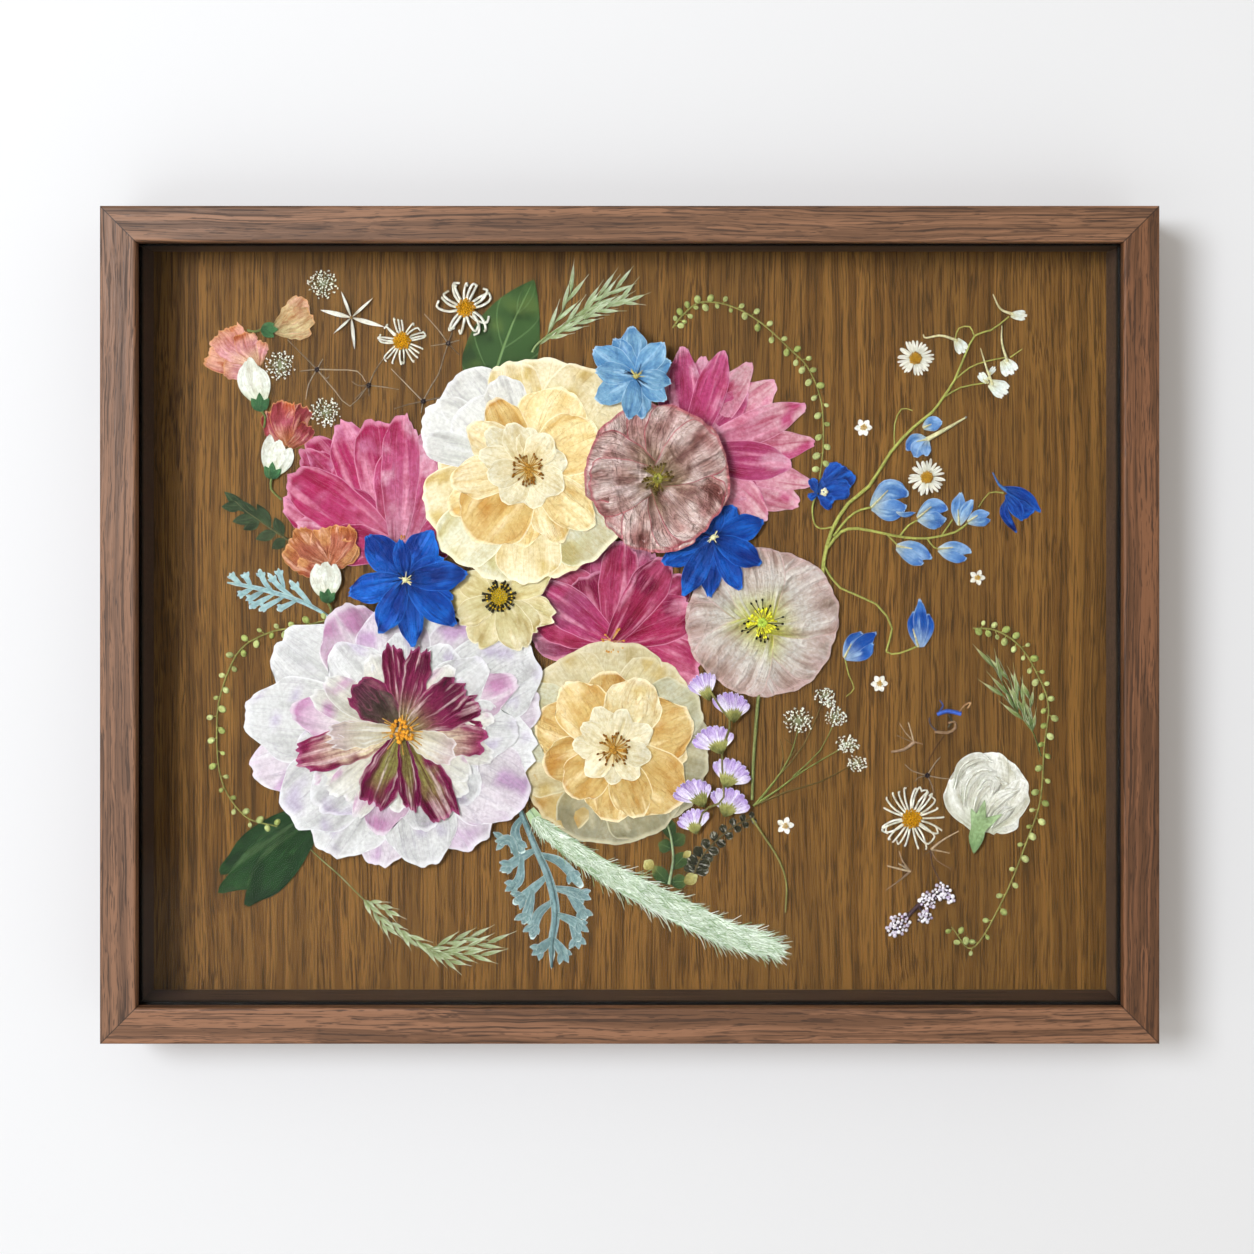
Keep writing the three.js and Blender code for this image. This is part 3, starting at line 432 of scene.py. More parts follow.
# %% Hanger and bumpers
def zinc():
    """Zinc-plated steel: bright grey with a faint cloudy spangle."""
    made, tree, shader = start_material("steel, zinc plated", Metallic=1.0, Roughness=0.35)
    place = add(tree, "ShaderNodeTexCoord").outputs["Object"]
    spangle = add(tree, "ShaderNodeTexVoronoi", {"Vector": place, "Scale": 1 / (2.5 * MM)})
    colour = coat(tree, "#c6c3ba", "#a5a29a", spangle.outputs[0], 0, 1)
    tree.links.new(colour, shader.inputs["Base Color"])
    span = {"Value": spangle.outputs[0], "To Min": 0.28, "To Max": 0.42}
    gloss = add(tree, "ShaderNodeMapRange", span, interpolation_type="SMOOTHSTEP")
    tree.links.new(gloss.outputs[0], shader.inputs["Roughness"])
    return made


def rubber():
    """Moulded rubber: near black, matt, with a fine grain from the mould."""
    made, tree, shader = start_material("rubber, moulded", Base_Color=linear("#2b2b2c"), Roughness=0.75)
    place = add(tree, "ShaderNodeTexCoord").outputs["Object"]
    grit = add(tree, "ShaderNodeTexNoise", {"Vector": place, "Scale": 1 / (0.4 * MM)})
    relief = add(tree, "ShaderNodeBump", {"Strength": 0.3, "Distance": 0.05 * MM,
                                          "Height": grit.outputs[0]})
    tree.links.new(relief.outputs[0], shader.inputs["Normal"])
    return made


ZINC = zinc()
PIN_RADIUS = 1.3 * MM
PIN_INSET = 3 * MM
HEAD = 0.3 * MM
bm = merged_copy("sawtooth_hanger")
low_plate, high_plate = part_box("sawtooth_hanger")
for vert in bm.verts:
    if vert.co.y > high_plate.y - HEAD:
        vert.co.y -= HEAD
soften(bm, 0.2 * MM)
for x in (low_plate.x + PIN_INSET, high_plate.x - PIN_INSET):
    place = Matrix.Translation((x, high_plate.y - HEAD, (low_plate.z + high_plate.z) / 2))
    bmesh.ops.create_uvsphere(bm, u_segments=16, v_segments=8, radius=PIN_RADIUS,
                              matrix=place @ Matrix.Scale(HEAD / PIN_RADIUS, 4, (0, 1, 0)))
show(bm, "hanger_plate", [ZINC], ["sawtooth_hanger"])
RUBBER = rubber()
for side in ("left", "right"):
    bm = merged_copy("bumper_" + side)
    soften(bm, 0.4 * MM, 3)
    show(bm, f"bumper_{side}_dome", [RUBBER], ["bumper_" + side], smooth=True)

# %% [markdown]
# ## How a pressed petal is made here
# A petal is one thin sheet. It starts as a flat grid whose points are moved: across, to the petal's
# outline, and up or down, to its cupping and the wrinkles that pressing left. Last, all the sheets of a
# flower are extruded straight back by the thickness of paper. The grid's own UV map runs along and
# across every petal, so that veins can follow it, and each point keeps the colour the flower has there.

# %% Places on the board
BOARD_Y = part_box("oak_board")[0].y
FIRST_LAYER = 0.3
LAYER_RISE = 0.9
PETAL_THICKNESS = 0.12 * MM
GOLDEN_SHARE = 0.618
dice = random.Random(11)


def on_board(x, y, z):
    """The place x mm right of the board's middle, y mm above it and z mm in front of its face."""
    return Vector((x * MM, BOARD_Y - z * MM, y * MM))


def layer(number):
    """How far in front of the board a layer of flowers starts, in mm."""
    return FIRST_LAYER + number * LAYER_RISE


def stagger(base, number, reach):
    """A height for one petal of a row. Neighbours get different ones, so that they overlap."""
    return base + reach * ((number * GOLDEN_SHARE) % 1)


def mix(first, second, share):
    """A colour part of the way from one to another."""
    share = min(1.0, max(0.0, share))
    return [a + (b - a) * share for a, b in zip(first, second)]


def step(value, low, high):
    """0 below low, 1 above high, and a smooth rise between."""
    t = min(1.0, max(0.0, (value - low) / (high - low)))
    return t * t * (3 - 2 * t)


def along(line, t):
    """The point and direction at t, from 0 to 1, on a smooth curve through a line's points."""
    spans = len(line) - 1
    at = min(max(t, 0) * spans, spans - 1e-6)
    i, f = int(at), at - int(at)
    b, c = Vector(line[i]), Vector(line[i + 1])
    a = Vector(line[i - 1]) if i > 0 else 2 * b - c
    d = Vector(line[i + 2]) if i + 2 <= spans else 2 * c - b
    k1, k2, k3 = c - a, 2 * a - 5 * b + 4 * c - d, 3 * b - a - 3 * c + d
    point = b + 0.5 * (k1 * f + k2 * f * f + k3 * f ** 3)
    way = k1 + 2 * k2 * f + 3 * k3 * f * f
    return point, way.normalized()


def turned(way, degrees):
    """A direction on the board, turned by an angle."""
    c, s = math.cos(math.radians(degrees)), math.sin(math.radians(degrees))
    return Vector((way.x * c - way.y * s, way.x * s + way.y * c))


print("the board's face is at y =", round(BOARD_Y / MM, 2), "mm")


# %% [markdown]
# An outline needs few numbers: how wide the petal's neck is, where along it the belly is widest, how wide
# the shoulder still is at the tip, and how far the corners are rounded back. Teeth and ruffle are how
# close and how deep the waves of its edge are. Crinkle, cup and fold are heights in mm.

# %% Outlines
ROUND = {"neck": 0.28, "belly": 0.68, "shoulder": 0.72, "back": 0.2, "notch": 0.0, "ruffle": 0.03,
         "crinkle": 0.12, "cup": 0.06, "fold": 0.0, "teeth": 5}
OUTLINES = {
    "broad": ROUND,
    "fan": {**ROUND, "neck": 0.35, "belly": 0.8, "shoulder": 0.9, "back": 0.12, "ruffle": 0.035},
    "guard": {**ROUND, "neck": 0.3, "belly": 0.76, "shoulder": 0.78, "back": 0.18, "notch": 0.02, "teeth": 3},
    "spoon": {**ROUND, "neck": 0.26, "belly": 0.6, "shoulder": 0.42, "back": 0.1, "ruffle": 0.05},
    "finger": {**ROUND, "neck": 0.36, "belly": 0.62, "shoulder": 0.5, "back": 0.1, "ruffle": 0.025},
    "plume": {**ROUND, "neck": 0.42, "belly": 0.72, "shoulder": 0.7, "back": 0.06, "ruffle": 0.05},
    "notched": {**ROUND, "notch": 0.06, "ruffle": 0.05, "back": 0.17},
    "long": {**ROUND, "neck": 0.35, "belly": 0.68, "shoulder": 0.72, "back": 0.11, "ruffle": 0.05},
    "oval": {**ROUND, "neck": 0.25, "belly": 0.52, "shoulder": 0.4, "back": 0.12, "ruffle": 0.015},
    "ragged": {**ROUND, "neck": 0.3, "belly": 0.72, "shoulder": 0.82, "back": 0.07, "ruffle": 0.1,
               "crinkle": 0.3, "teeth": 7},
    "strap": {**ROUND, "neck": 0.6, "belly": 0.6, "shoulder": 0.72, "back": 0.09, "crinkle": 0.08},
    "leaf": {**ROUND, "neck": 0.1, "belly": 0.42, "shoulder": 0.03, "back": 0.0, "ruffle": 0.01,
             "crinkle": 0.1, "cup": 0.05, "fold": 0.1},
}
print("outlines:", len(OUTLINES))

# %% [markdown]
# A blade is one sheet along a line. The grid's points are moved one by one, because no operator knows a
# petal's outline, but the grid itself, with its faces and its UV map, comes from bmesh. Besides its
# colour, each blade keeps a random number in the tint's alpha, so that no two share the same veins.

# %% Blades
def new_plant():
    """An empty bmesh with the layers that every plant carries."""
    bm = bmesh.new()
    bm.loops.layers.uv.new("petal")
    bm.verts.layers.float_color.new("tint")
    bm.faces.layers.int.new("sheet")
    return bm


def half_width(u, outline):
    """Half of a blade's width at u, as a share of its widest half."""
    if u < outline["belly"]:
        rise = math.sin(0.5 * math.pi * u / outline["belly"])
        return outline["neck"] + (1 - outline["neck"]) * rise
    fall = (u - outline["belly"]) / (1 - outline["belly"])
    return 1 - (1 - outline["shoulder"]) * fall ** 2


def tinted(tints, u, v, place, seed):
    """A petal's colour: base, middle and tip, then an optional stain in patches or along the edge."""
    base, middle, tip = tints[:3]
    colour = mix(base, middle, step(u, 0.0, 0.55)) if u < 0.55 else mix(middle, tip, step(u, 0.5, 1.0))
    if len(tints) > 3:
        edgy = tints[5] if len(tints) > 5 else 0
        patch = noise.noise((place.x / 7, place.y / 7, seed)) * 0.5 + 0.5 + edgy * (abs(v) - 0.4)
        colour = mix(colour, tints[3], step(patch + 0.35 * (u - 0.6), 0.9 - tints[4], 1.1 - tints[4]))
    lighter = 0.88 + 0.2 * (seed / 100)
    return [c * lighter for c in colour]


def blade(bm, line, width, height, outline, tints, cells, finish=0, lift=0.0):
    """One petal or leaf along a line of points, in mm on the board."""
    form = OUTLINES[outline]
    tint = bm.verts.layers.float_color["tint"]
    seed = dice.random()
    turn = seed * 100
    length = sum(math.dist(a, b) for a, b in zip(line, line[1:]))
    made = bmesh.ops.create_grid(bm, x_segments=cells[0], y_segments=cells[1], size=0.5,
                                 calc_uvs=True)["verts"]
    for vert in made:
        u, v = vert.co.x + 0.5, vert.co.y * 2
        point, way = along(line, u)
        half = 0.5 * width * half_width(u, form)
        half *= 1 + 2 * form["ruffle"] * noise.noise((u * form["teeth"], math.copysign(3, v), turn))
        back = form["back"] * u ** 4 * abs(v) ** 2.5
        back += form["notch"] * u ** 8 * math.exp(-(v / 0.2) ** 2)
        back += form["ruffle"] * u ** 5 * noise.noise((v * 4, turn, 0.5))
        side = Vector((-way.y, way.x))
        place = point + side * v * half - way * back * length
        crinkle = form["crinkle"] * noise.noise((place.x / 5, place.y / 5, turn)) * u
        fold = form["fold"] * (1 - abs(v))
        z = height + crinkle + fold + form["cup"] * v * v * u + lift * u
        vert.co = on_board(place.x, place.y, max(z, 0.25))
        vert[tint] = tinted(tints, u, v, place, turn)[:3] + [seed]
    sheet = bm.faces.layers.int["sheet"]
    for face in {f for vert in made for f in vert.link_faces}:
        face.material_index = finish
        face[sheet] = 1


def petal(bm, centre, size, height, outline, tints, cells, finish=0, lift=0.0, start=0):
    """A petal that leaves a flower's centre. Its size is (direction in degrees, length, width)."""
    degrees, length, width = size
    way = Vector((math.cos(math.radians(degrees)), math.sin(math.radians(degrees))))
    centre = Vector(centre)
    line = [centre + way * start, centre + way * length]
    blade(bm, line, width, height, outline, tints, cells, finish, lift)


def tier(bm, centre, petals, height, spread, outline, cells, finish=0, lift=0.05, tints=None):
    """A ring of petals, which share their tints or have a fourth item each, their own."""
    for number, (degrees, length, width, *own) in enumerate(petals):
        level = stagger(height, number, spread)
        petal(bm, centre, (degrees, length, width), level, outline, tints or own[0], cells, finish, lift)


print("a petal's sheet is", PETAL_THICKNESS / MM, "mm thick")

# %% [markdown]
# Stamens, stems, buds and seeds are too thin or too round for a sheet. A thread is a tapered tube along
# a line of points: each stretch is a cone, and the next one starts inside it. A bead is a small ball,
# often pressed flat.

# %% Threads and beads
MID_UV = (0.5, 0.5)
GOLDEN_ANGLE = 137.5


def paint_new(bm, verts, colour, finish):
    """Gives new round parts one colour (linear, or a hex code), the middle of the UV map and a finish."""
    tint = bm.verts.layers.float_color["tint"]
    uv = bm.loops.layers.uv["petal"]
    shade = dice.uniform(0.82, 1.12)
    colour = linear(colour) if isinstance(colour, str) else colour
    value = [min(1.0, c * shade) for c in colour[:3]] + [dice.random()]
    for vert in verts:
        vert[tint] = value
    for face in {f for vert in verts for f in vert.link_faces}:
        face.material_index = finish
        for loop in face.loops:
            loop[uv].uv = MID_UV


def thread(bm, line, widths, height, colour, finish, steps=0, sides=5, rise=0.0):
    """A thin round stalk along a line. widths are its diameters at the start and at the end, in mm."""
    steps = steps or max(1, 2 * (len(line) - 1))
    for i in range(steps):
        t0, t1 = i / steps, (i + 1) / steps
        (a, _), (b, _) = along(line, t0), along(line, t1)
        w0, w1 = (widths[0] + (widths[1] - widths[0]) * t for t in (t0, t1))
        start = on_board(a.x, a.y, height + rise * t0)
        end = on_board(b.x, b.y, height + rise * t1)
        span = end - start
        start -= span.normalized() * 0.15 * w0 * MM
        span = end - start
        turn = span.to_track_quat("Z", "Y").to_matrix().to_4x4()
        made = bmesh.ops.create_cone(bm, cap_ends=True, segments=sides, radius1=0.5 * w0 * MM,
                                     radius2=0.5 * w1 * MM, depth=span.length,
                                     matrix=Matrix.Translation((start + end) / 2) @ turn)
        paint_new(bm, made["verts"], colour, finish)


def bead(bm, place, radius, height, colour, finish, flat=0.7, stretch=1.0, degrees=0.0, detail=1):
    """A small ball, flattened towards the board and drawn out in one direction."""
    size = Matrix.Diagonal((radius * stretch * MM, radius * flat * MM, radius * MM, 1))
    turn = Matrix.Rotation(math.radians(-degrees), 4, "Y")
    spot = Matrix.Translation(on_board(place[0], place[1], height))
    made = bmesh.ops.create_icosphere(bm, subdivisions=detail, radius=1, matrix=spot @ turn @ size)
    paint_new(bm, made["verts"], colour, finish)


def around(centre, degrees, radius):
    """The point at a distance from a centre, in a direction."""
    angle = math.radians(degrees)
    return centre[0] + radius * math.cos(angle), centre[1] + radius * math.sin(angle)


def spiral(centre, radius, number, count):
    """The place of one floret of a head, where florets grow in spirals."""
    return around(centre, number * GOLDEN_ANGLE, radius * math.sqrt((number + 0.5) / count))


print("florets of a head are", GOLDEN_ANGLE, "degrees apart")

# %% [markdown]
# ## Petal and leaf finishes
# A dried petal is a thin, papery skin: dull, with fine lengthwise veins and cloudy patches where it was
# bruised. Its folds get a painted highlight on their ridges, which on the flamed petals is also their own
# white streaks, and painted shade in their hollows. Its edge is painted paler, partly its own colour and
# partly a painted highlight. Some are so thin that what lies below shows through. The colour of each
# place comes from the flower's own tint, and the veins from its UV map.

# %% Petal finish
def petal_finish(name, vein, strength=0.3, across=9.0, rim=None, clear=0.0, rough=0.62, crumple=0.5,
                 bruise_and_fold_shade="#d8cfc4", bruised=0.5, rimmed=0.5, pleats=4.0, folded=0.4, fold="#fffaf2",
                 gloss=0.15, depth=1.2, crease=5.0):
    """A dried petal. across and pleats count its veins and folds, clear is how much shows through it.
    The fold colour is laid on the ridges of the folds as a painted highlight, and the bruise colour darkens
    their hollows as painted shade as well as the bruises. The rim colour paints the edge paler, partly the
    petal's own colour and partly a painted highlight.
    """
    made, tree, shader = start_material(name, Roughness=rough, IOR=1.4)
    shader.inputs["Specular IOR Level"].default_value = gloss
    painted = add(tree, "ShaderNodeAttribute", attribute_name="tint")
    own = painted.outputs["Alpha"]
    place = add(tree, "ShaderNodeTexCoord").outputs["Object"]
    flat = add(tree, "ShaderNodeSeparateXYZ", {0: add(tree, "ShaderNodeUVMap", uv_map="petal").outputs[0]})
    u, v = flat.outputs[0], flat.outputs[1]
    spot = add(tree, "ShaderNodeCombineXYZ", {0: u, 1: v, 2: own}).outputs[0]

    def lengthwise(steps_along, steps_across, detail):
        """Noise in lines that run from the petal's foot to its tip."""
        size = (steps_along, steps_across, 60.0)
        drawn = add(tree, "ShaderNodeVectorMath", {0: spot, 1: size}, operation="MULTIPLY").outputs[0]
        return add(tree, "ShaderNodeTexNoise", {"Vector": drawn, "Scale": 1.0, "Detail": detail}).outputs[0]

    folds = lengthwise(1.6, pleats, 2.0)
    # painted highlight on the ridges of the folds, on flamed petals also their own white streaks; then
    # painted shade in the hollows, in the bruise colour
    colour = coat(tree, painted.outputs["Color"], fold, folds, 0.52, 0.7, 0.0, folded)
    colour = coat(tree, colour, bruise_and_fold_shade, folds, 0.3, 0.48, 1.4 * folded, 0.0, mode="MULTIPLY")
    veins = None
    for share, weight, width in ((1.0, 0.9, 0.025), (2.6, 0.55, 0.04)):
        off = add(tree, "ShaderNodeMath", {0: lengthwise(1.4 * share ** 0.5, across * share, 0.5), 1: 0.5},
                  operation="SUBTRACT").outputs[0]
        apart = add(tree, "ShaderNodeMath", {0: off}, operation="ABSOLUTE").outputs[0]
        span = {"Value": apart, "From Min": 0.0, "From Max": width, "To Min": weight, "To Max": 0.0}
        line = add(tree, "ShaderNodeMapRange", span, interpolation_type="SMOOTHSTEP").outputs[0]
        veins = line if veins is None else add(tree, "ShaderNodeMath", {0: veins, 1: line}).outputs[0]
    share = add(tree, "ShaderNodeMath", {0: veins, 1: strength}, operation="MULTIPLY",
                use_clamp=True).outputs[0]
    colour = add(tree, "ShaderNodeMix", {0: share, 6: colour, 7: vein}, data_type="RGBA").outputs[2]
    cloud = add(tree, "ShaderNodeTexNoise", {"Vector": place, "Scale": 1 / (9 * MM), "Detail": 4.0,
                                             "Roughness": 0.6}).outputs[0]
    colour = coat(tree, colour, bruise_and_fold_shade, cloud, 0.45, 0.72, 0.0, bruised, mode="MULTIPLY")
    fibre = add(tree, "ShaderNodeTexNoise", {"Vector": place, "Scale": 1 / (1.3 * MM),
                                             "Detail": 2.0}).outputs[0]
    colour = coat(tree, colour, bruise_and_fold_shade, fibre, 0.35, 0.65, 0.0, 0.35, mode="MULTIPLY")
    side = add(tree, "ShaderNodeMath", {0: v, 1: 2.0, 2: -1.0}, operation="MULTIPLY_ADD").outputs[0]
    side = add(tree, "ShaderNodeMath", {0: side}, operation="ABSOLUTE").outputs[0]
    edge = add(tree, "ShaderNodeMath", {0: side, 1: u}, operation="MAXIMUM").outputs[0]
    # painted highlight: a paler edge, partly the petal's own colour
    if rim:
        colour = coat(tree, colour, rim, edge, 0.94, 0.985, 0.0, rimmed)
    tree.links.new(colour, shader.inputs["Base Color"])
    wrinkle = add(tree, "ShaderNodeTexNoise", {"Vector": place, "Scale": 1 / (crease * MM), "Detail": 3.0,
                                               "Roughness": 0.55, "Distortion": 1.2}).outputs[0]
    height = add(tree, "ShaderNodeMath", {0: folds, 1: 1.6, 2: wrinkle}, operation="MULTIPLY_ADD").outputs[0]
    height = add(tree, "ShaderNodeMath", {0: veins, 1: 0.12, 2: height}, operation="MULTIPLY_ADD").outputs[0]
    relief = add(tree, "ShaderNodeBump", {"Strength": crumple, "Distance": depth * MM, "Height": height})
    tree.links.new(relief.outputs[0], shader.inputs["Normal"])
    if clear:
        span = {"Value": cloud, "From Min": 0.35, "From Max": 0.65, "To Min": 1.0 - clear,
                "To Max": 1.0 - 0.5 * clear}
        solid = add(tree, "ShaderNodeMapRange", span, interpolation_type="SMOOTHSTEP")
        tree.links.new(solid.outputs[0], shader.inputs["Alpha"])
    return made


print("a bruise in linear values:", [round(c, 2) for c in linear("#d8cfc4")])

# %% [markdown]
# Stems, seeds and hairs have no veins to follow, so a plainer finish does for them: their own tint with a
# fine grit. Every kind of petal is the same recipe with its own colours, folds and gloss.

# %% The plants' finishes
def plain_finish(name, rough, grain_mm, dark, depth=0.15):
    """A dried stem, bud or seed: its tint, a darker grain in it and a slightly rough skin."""
    made, tree, shader = start_material(name, Roughness=rough, IOR=1.42, Specular_IOR_Level=0.15)
    painted = add(tree, "ShaderNodeAttribute", attribute_name="tint").outputs["Color"]
    place = add(tree, "ShaderNodeTexCoord").outputs["Object"]
    grit = add(tree, "ShaderNodeTexNoise", {"Vector": place, "Scale": 1 / (grain_mm * MM),
                                            "Detail": 3.0}).outputs[0]
    colour = coat(tree, painted, dark, grit, 0.42, 0.7, 0.0, 0.6, mode="MULTIPLY")
    tree.links.new(colour, shader.inputs["Base Color"])
    relief = add(tree, "ShaderNodeBump", {"Strength": 0.4, "Distance": depth * MM, "Height": grit})
    tree.links.new(relief.outputs[0], shader.inputs["Normal"])
    return made


STEM = plain_finish("dried stem, matt", 0.6, 0.8, "#b9ab8a")
POLLEN = plain_finish("dried stamens, dusty", 0.8, 0.4, "#b08a58", 0.2)
WHITE = petal_finish("white petal, papery and half clear", "#a79fb0", 0.3, 10, "#f6f4f6", 0.25,
                     bruise_and_fold_shade="#cfcccc", crumple=0.6, folded=0.5, fold="#f6f5f3")
CREAM = petal_finish("cream petal, papery", "#b99a62", 0.25, 9, "#f4ecd2", 0.0, bruise_and_fold_shade="#dccba2",
                     fold="#f2e9cf")
GOLD = petal_finish("golden petal, puckered", "#b98446", 0.25, 7, "#f4e8c6", 0.0, bruise_and_fold_shade="#e2c690",
                    crumple=0.8, folded=0.55, fold="#f2e4bf", bruised=0.35, rimmed=0.6)
SHEER = petal_finish("cream petal, half clear", "#a8976a", 0.3, 8, "#e6dcbc", 0.35, bruise_and_fold_shade="#cfc49e",
                     fold="#e9e0c4")
PINK = petal_finish("pink petal, veined", "#d588a8", 0.3, 9, "#e5a0bc", 0.1, bruise_and_fold_shade="#cf6c92",
                    bruised=0.7, folded=0.55, fold="#e6a8bc", crumple=0.8)
FLAME = petal_finish("flamed petal, streaked with white", "#4a0c2c", 0.5, 6, "#b8588a", 0.0,
                     bruise_and_fold_shade="#a86a80", pleats=7, folded=0.55, fold="#e6d3cf", crumple=0.7, rimmed=0.35)
DUSK = petal_finish("flamed petal, dark", "#8f4a62", 0.4, 4, "#9a3a68", 0.0, bruise_and_fold_shade="#8a7068", pleats=3,
                    folded=0.25, fold="#a08a80", crumple=0.7)
SILK = petal_finish("poppy petal, crumpled silk", "#8a4a50", 0.2, 11, "#b0505c", 0.1, rough=0.34,
                    crumple=1.0, bruise_and_fold_shade="#a88078", bruised=0.8, pleats=3, folded=0.65, fold="#ecd6d2",
                    rimmed=0.8, gloss=0.5, depth=4.0, crease=9.0)
TISSUE = petal_finish("poppy petal, white tissue", "#a08d84", 0.25, 15, "#dcb8b4", 0.3, rough=0.5,
                      crumple=0.9, bruise_and_fold_shade="#cdbab0", bruised=0.6, pleats=8, folded=0.55, fold="#f3efeb",
                      gloss=0.3, depth=1.8)
BLUE = petal_finish("blue petal, veined", "#041650", 0.6, 7, "#2f74d0", 0.0, rough=0.45, bruise_and_fold_shade="#5a80c8",
                    bruised=0.5, rimmed=0.6, pleats=3, folded=0.45, fold="#1f74d8", crumple=0.8)
SKY = petal_finish("pale blue petal, thin", "#3f72b4", 0.4, 6, "#c6dff0", 0.1, bruise_and_fold_shade="#9fbfd8", pleats=3,
                   folded=0.45, fold="#c3e0f2", crumple=0.7)
DAISY = petal_finish("white ray petal", "#98917c", 0.4, 4, None, 0.0, bruise_and_fold_shade="#cfc6b0", pleats=2)
LILAC = petal_finish("lilac petal, pleated", "#6a4a90", 0.6, 8, "#f1ebf5", 0.0, bruise_and_fold_shade="#c2b0ce")
ORANGE = petal_finish("rosebud petal, ruffled", "#8f4030", 0.35, 7, "#e0a46a", 0.0, crumple=1.0,
                      bruise_and_fold_shade="#cfa084", bruised=0.7, pleats=5, folded=0.5, fold="#eec4ae")
LEAF = petal_finish("pressed leaf, satin green", "#3f6b38", 0.45, 14, None, 0.0, rough=0.5, crumple=0.3,
                    bruise_and_fold_shade="#8a9468", folded=0.15, fold="#8aa070")
SILVER = petal_finish("felted leaf, silver green", "#c4d8da", 0.3, 3, "#dfe9e6", 0.0, rough=0.8,
                      bruise_and_fold_shade="#93a8aa", folded=0.2, fold="#d0dcda", rimmed=0.7, crumple=0.4)
print("finishes so far:", len(bpy.data.materials))

# %% [markdown]
# ## The peony
# A double peony presses into three tiers: broad, half-clear guard petals, a few shorter white ones, and
# in the middle the flamed petals, ragged and streaked with maroon round a boss of golden stamens. The
# petals of a tier lie over and under each other, so each gets its own small height.

# %% Petal tints
def shades(*colours, share=None):
    """Base, middle and tip colours, and the stain and its share if the petal has one."""
    made = [linear(c) for c in colours]
    return made if share is None else made + [share]


PEONY = (-83.7, -40.5)
GUARD = shades("#c4c4bc", "#dcdcd8", "#e2e1e1", "#cbbfd4", share=0.22)
BLUSH = shades("#c9c6be", "#dcd6d8", "#e0d2dd", "#cba6cb", share=0.3)
ROSY = shades("#d6d0cc", "#e0d4d8", "#d3a9c6", "#c488b0", share=0.3)
IVORY_SHRED = shades("#c4bc98", "#d9d4c2", "#e2dfd6", "#cf9ac0", share=0.22)
GUARDS = [
    (143, 56.5, 36, GUARD), (174, 58.5, 32, GUARD), (-165, 57.5, 28, BLUSH), (-143, 53, 32, GUARD),
    (-122, 53, 32, GUARD), (-100, 50.5, 26, BLUSH), (-79, 50.5, 28, GUARD), (-56, 50.5, 32, BLUSH),
    (-32, 53, 32, BLUSH), (-9, 50, 32, GUARD), (12, 52, 28, BLUSH), (30, 57, 34, GUARD),
    (50, 50, 30, BLUSH), (74, 47, 30, GUARD), (96, 47, 28, BLUSH), (117, 51.5, 29, ROSY),
]
SHORTS = [
    (128, 40, 24, GUARD), (169, 42, 18, ROSY), (-170, 39, 22, GUARD), (-138, 42, 28, GUARD),
    (-104, 39, 20, ROSY), (-42, 37, 24, GUARD), (24, 46, 18, ROSY), (60, 36, 24, GUARD),
    (90, 36, 22, GUARD), (0, 43, 24, GUARD), (-75, 38, 22, GUARD), (40, 40, 20, GUARD),
]
SHREDS = [
    (-150, 37, 11, IVORY_SHRED), (-139, 35, 10, IVORY_SHRED), (-128, 33, 10, IVORY_SHRED),
    (-118, 36, 9, IVORY_SHRED), (-94, 30, 9, IVORY_SHRED), (-45, 33, 12, IVORY_SHRED),
    (-34, 30, 11, IVORY_SHRED), (-16, 35, 11, IVORY_SHRED), (8, 34, 10, IVORY_SHRED),
    (52, 30, 11, IVORY_SHRED), (112, 30, 12, IVORY_SHRED),
    (146, 34, 12, IVORY_SHRED), (158, 36, 11, IVORY_SHRED), (-157, 33, 9, IVORY_SHRED),
]
FLAMES = [
    (97, 31.5, 9, "flame"), (76, 31, 10, "flame"), (133, 24, 15, "dusk"), (37, 28, 14, "flame"),
    (20, 30, 11, "flame"), (-5, 31, 14, "cream"), (-24, 21, 11, "clear"),
    (-62, 36, 15, "olive"), (-82, 29, 8, "olive"), (-112, 29, 15, "olive"), (-165, 39, 14, "cream"),
    (-176, 27, 10, "clear"), (178, 24, 7, "clear"),
]
FLAME_TINTS = {
    "flame": (shades("#8f8a58", "#7a1c48", "#6a0f3a", "#5c0c32", share=0.3), 1),
    "dusk": (shades("#4f4630", "#3a2e28", "#4a1a30", "#6a1840", share=0.2) + [0.7], 3),
    "cream": (shades("#c4b88c", "#d3c6a8", "#8f2458", "#7f1848", share=0.34) + [0.3], 1),
    "olive": (shades("#7f7f38", "#7f7a40", "#6a1038", "#6f1040", share=0.5) + [0.8], 1),
    "clear": (shades("#c9bd98", "#d0c6b0", "#c9b3b0", "#b98a9c", share=0.2), 0),
}
print("petals of the peony:", len(GUARDS) + len(SHORTS) + len(SHREDS) + len(FLAMES))

# %% [markdown]
# The tiers are laid from the back to the front. When a plant is done, all its sheets are extruded straight
# back in one go, which closes each into a shell that has a front, a back and a rim.

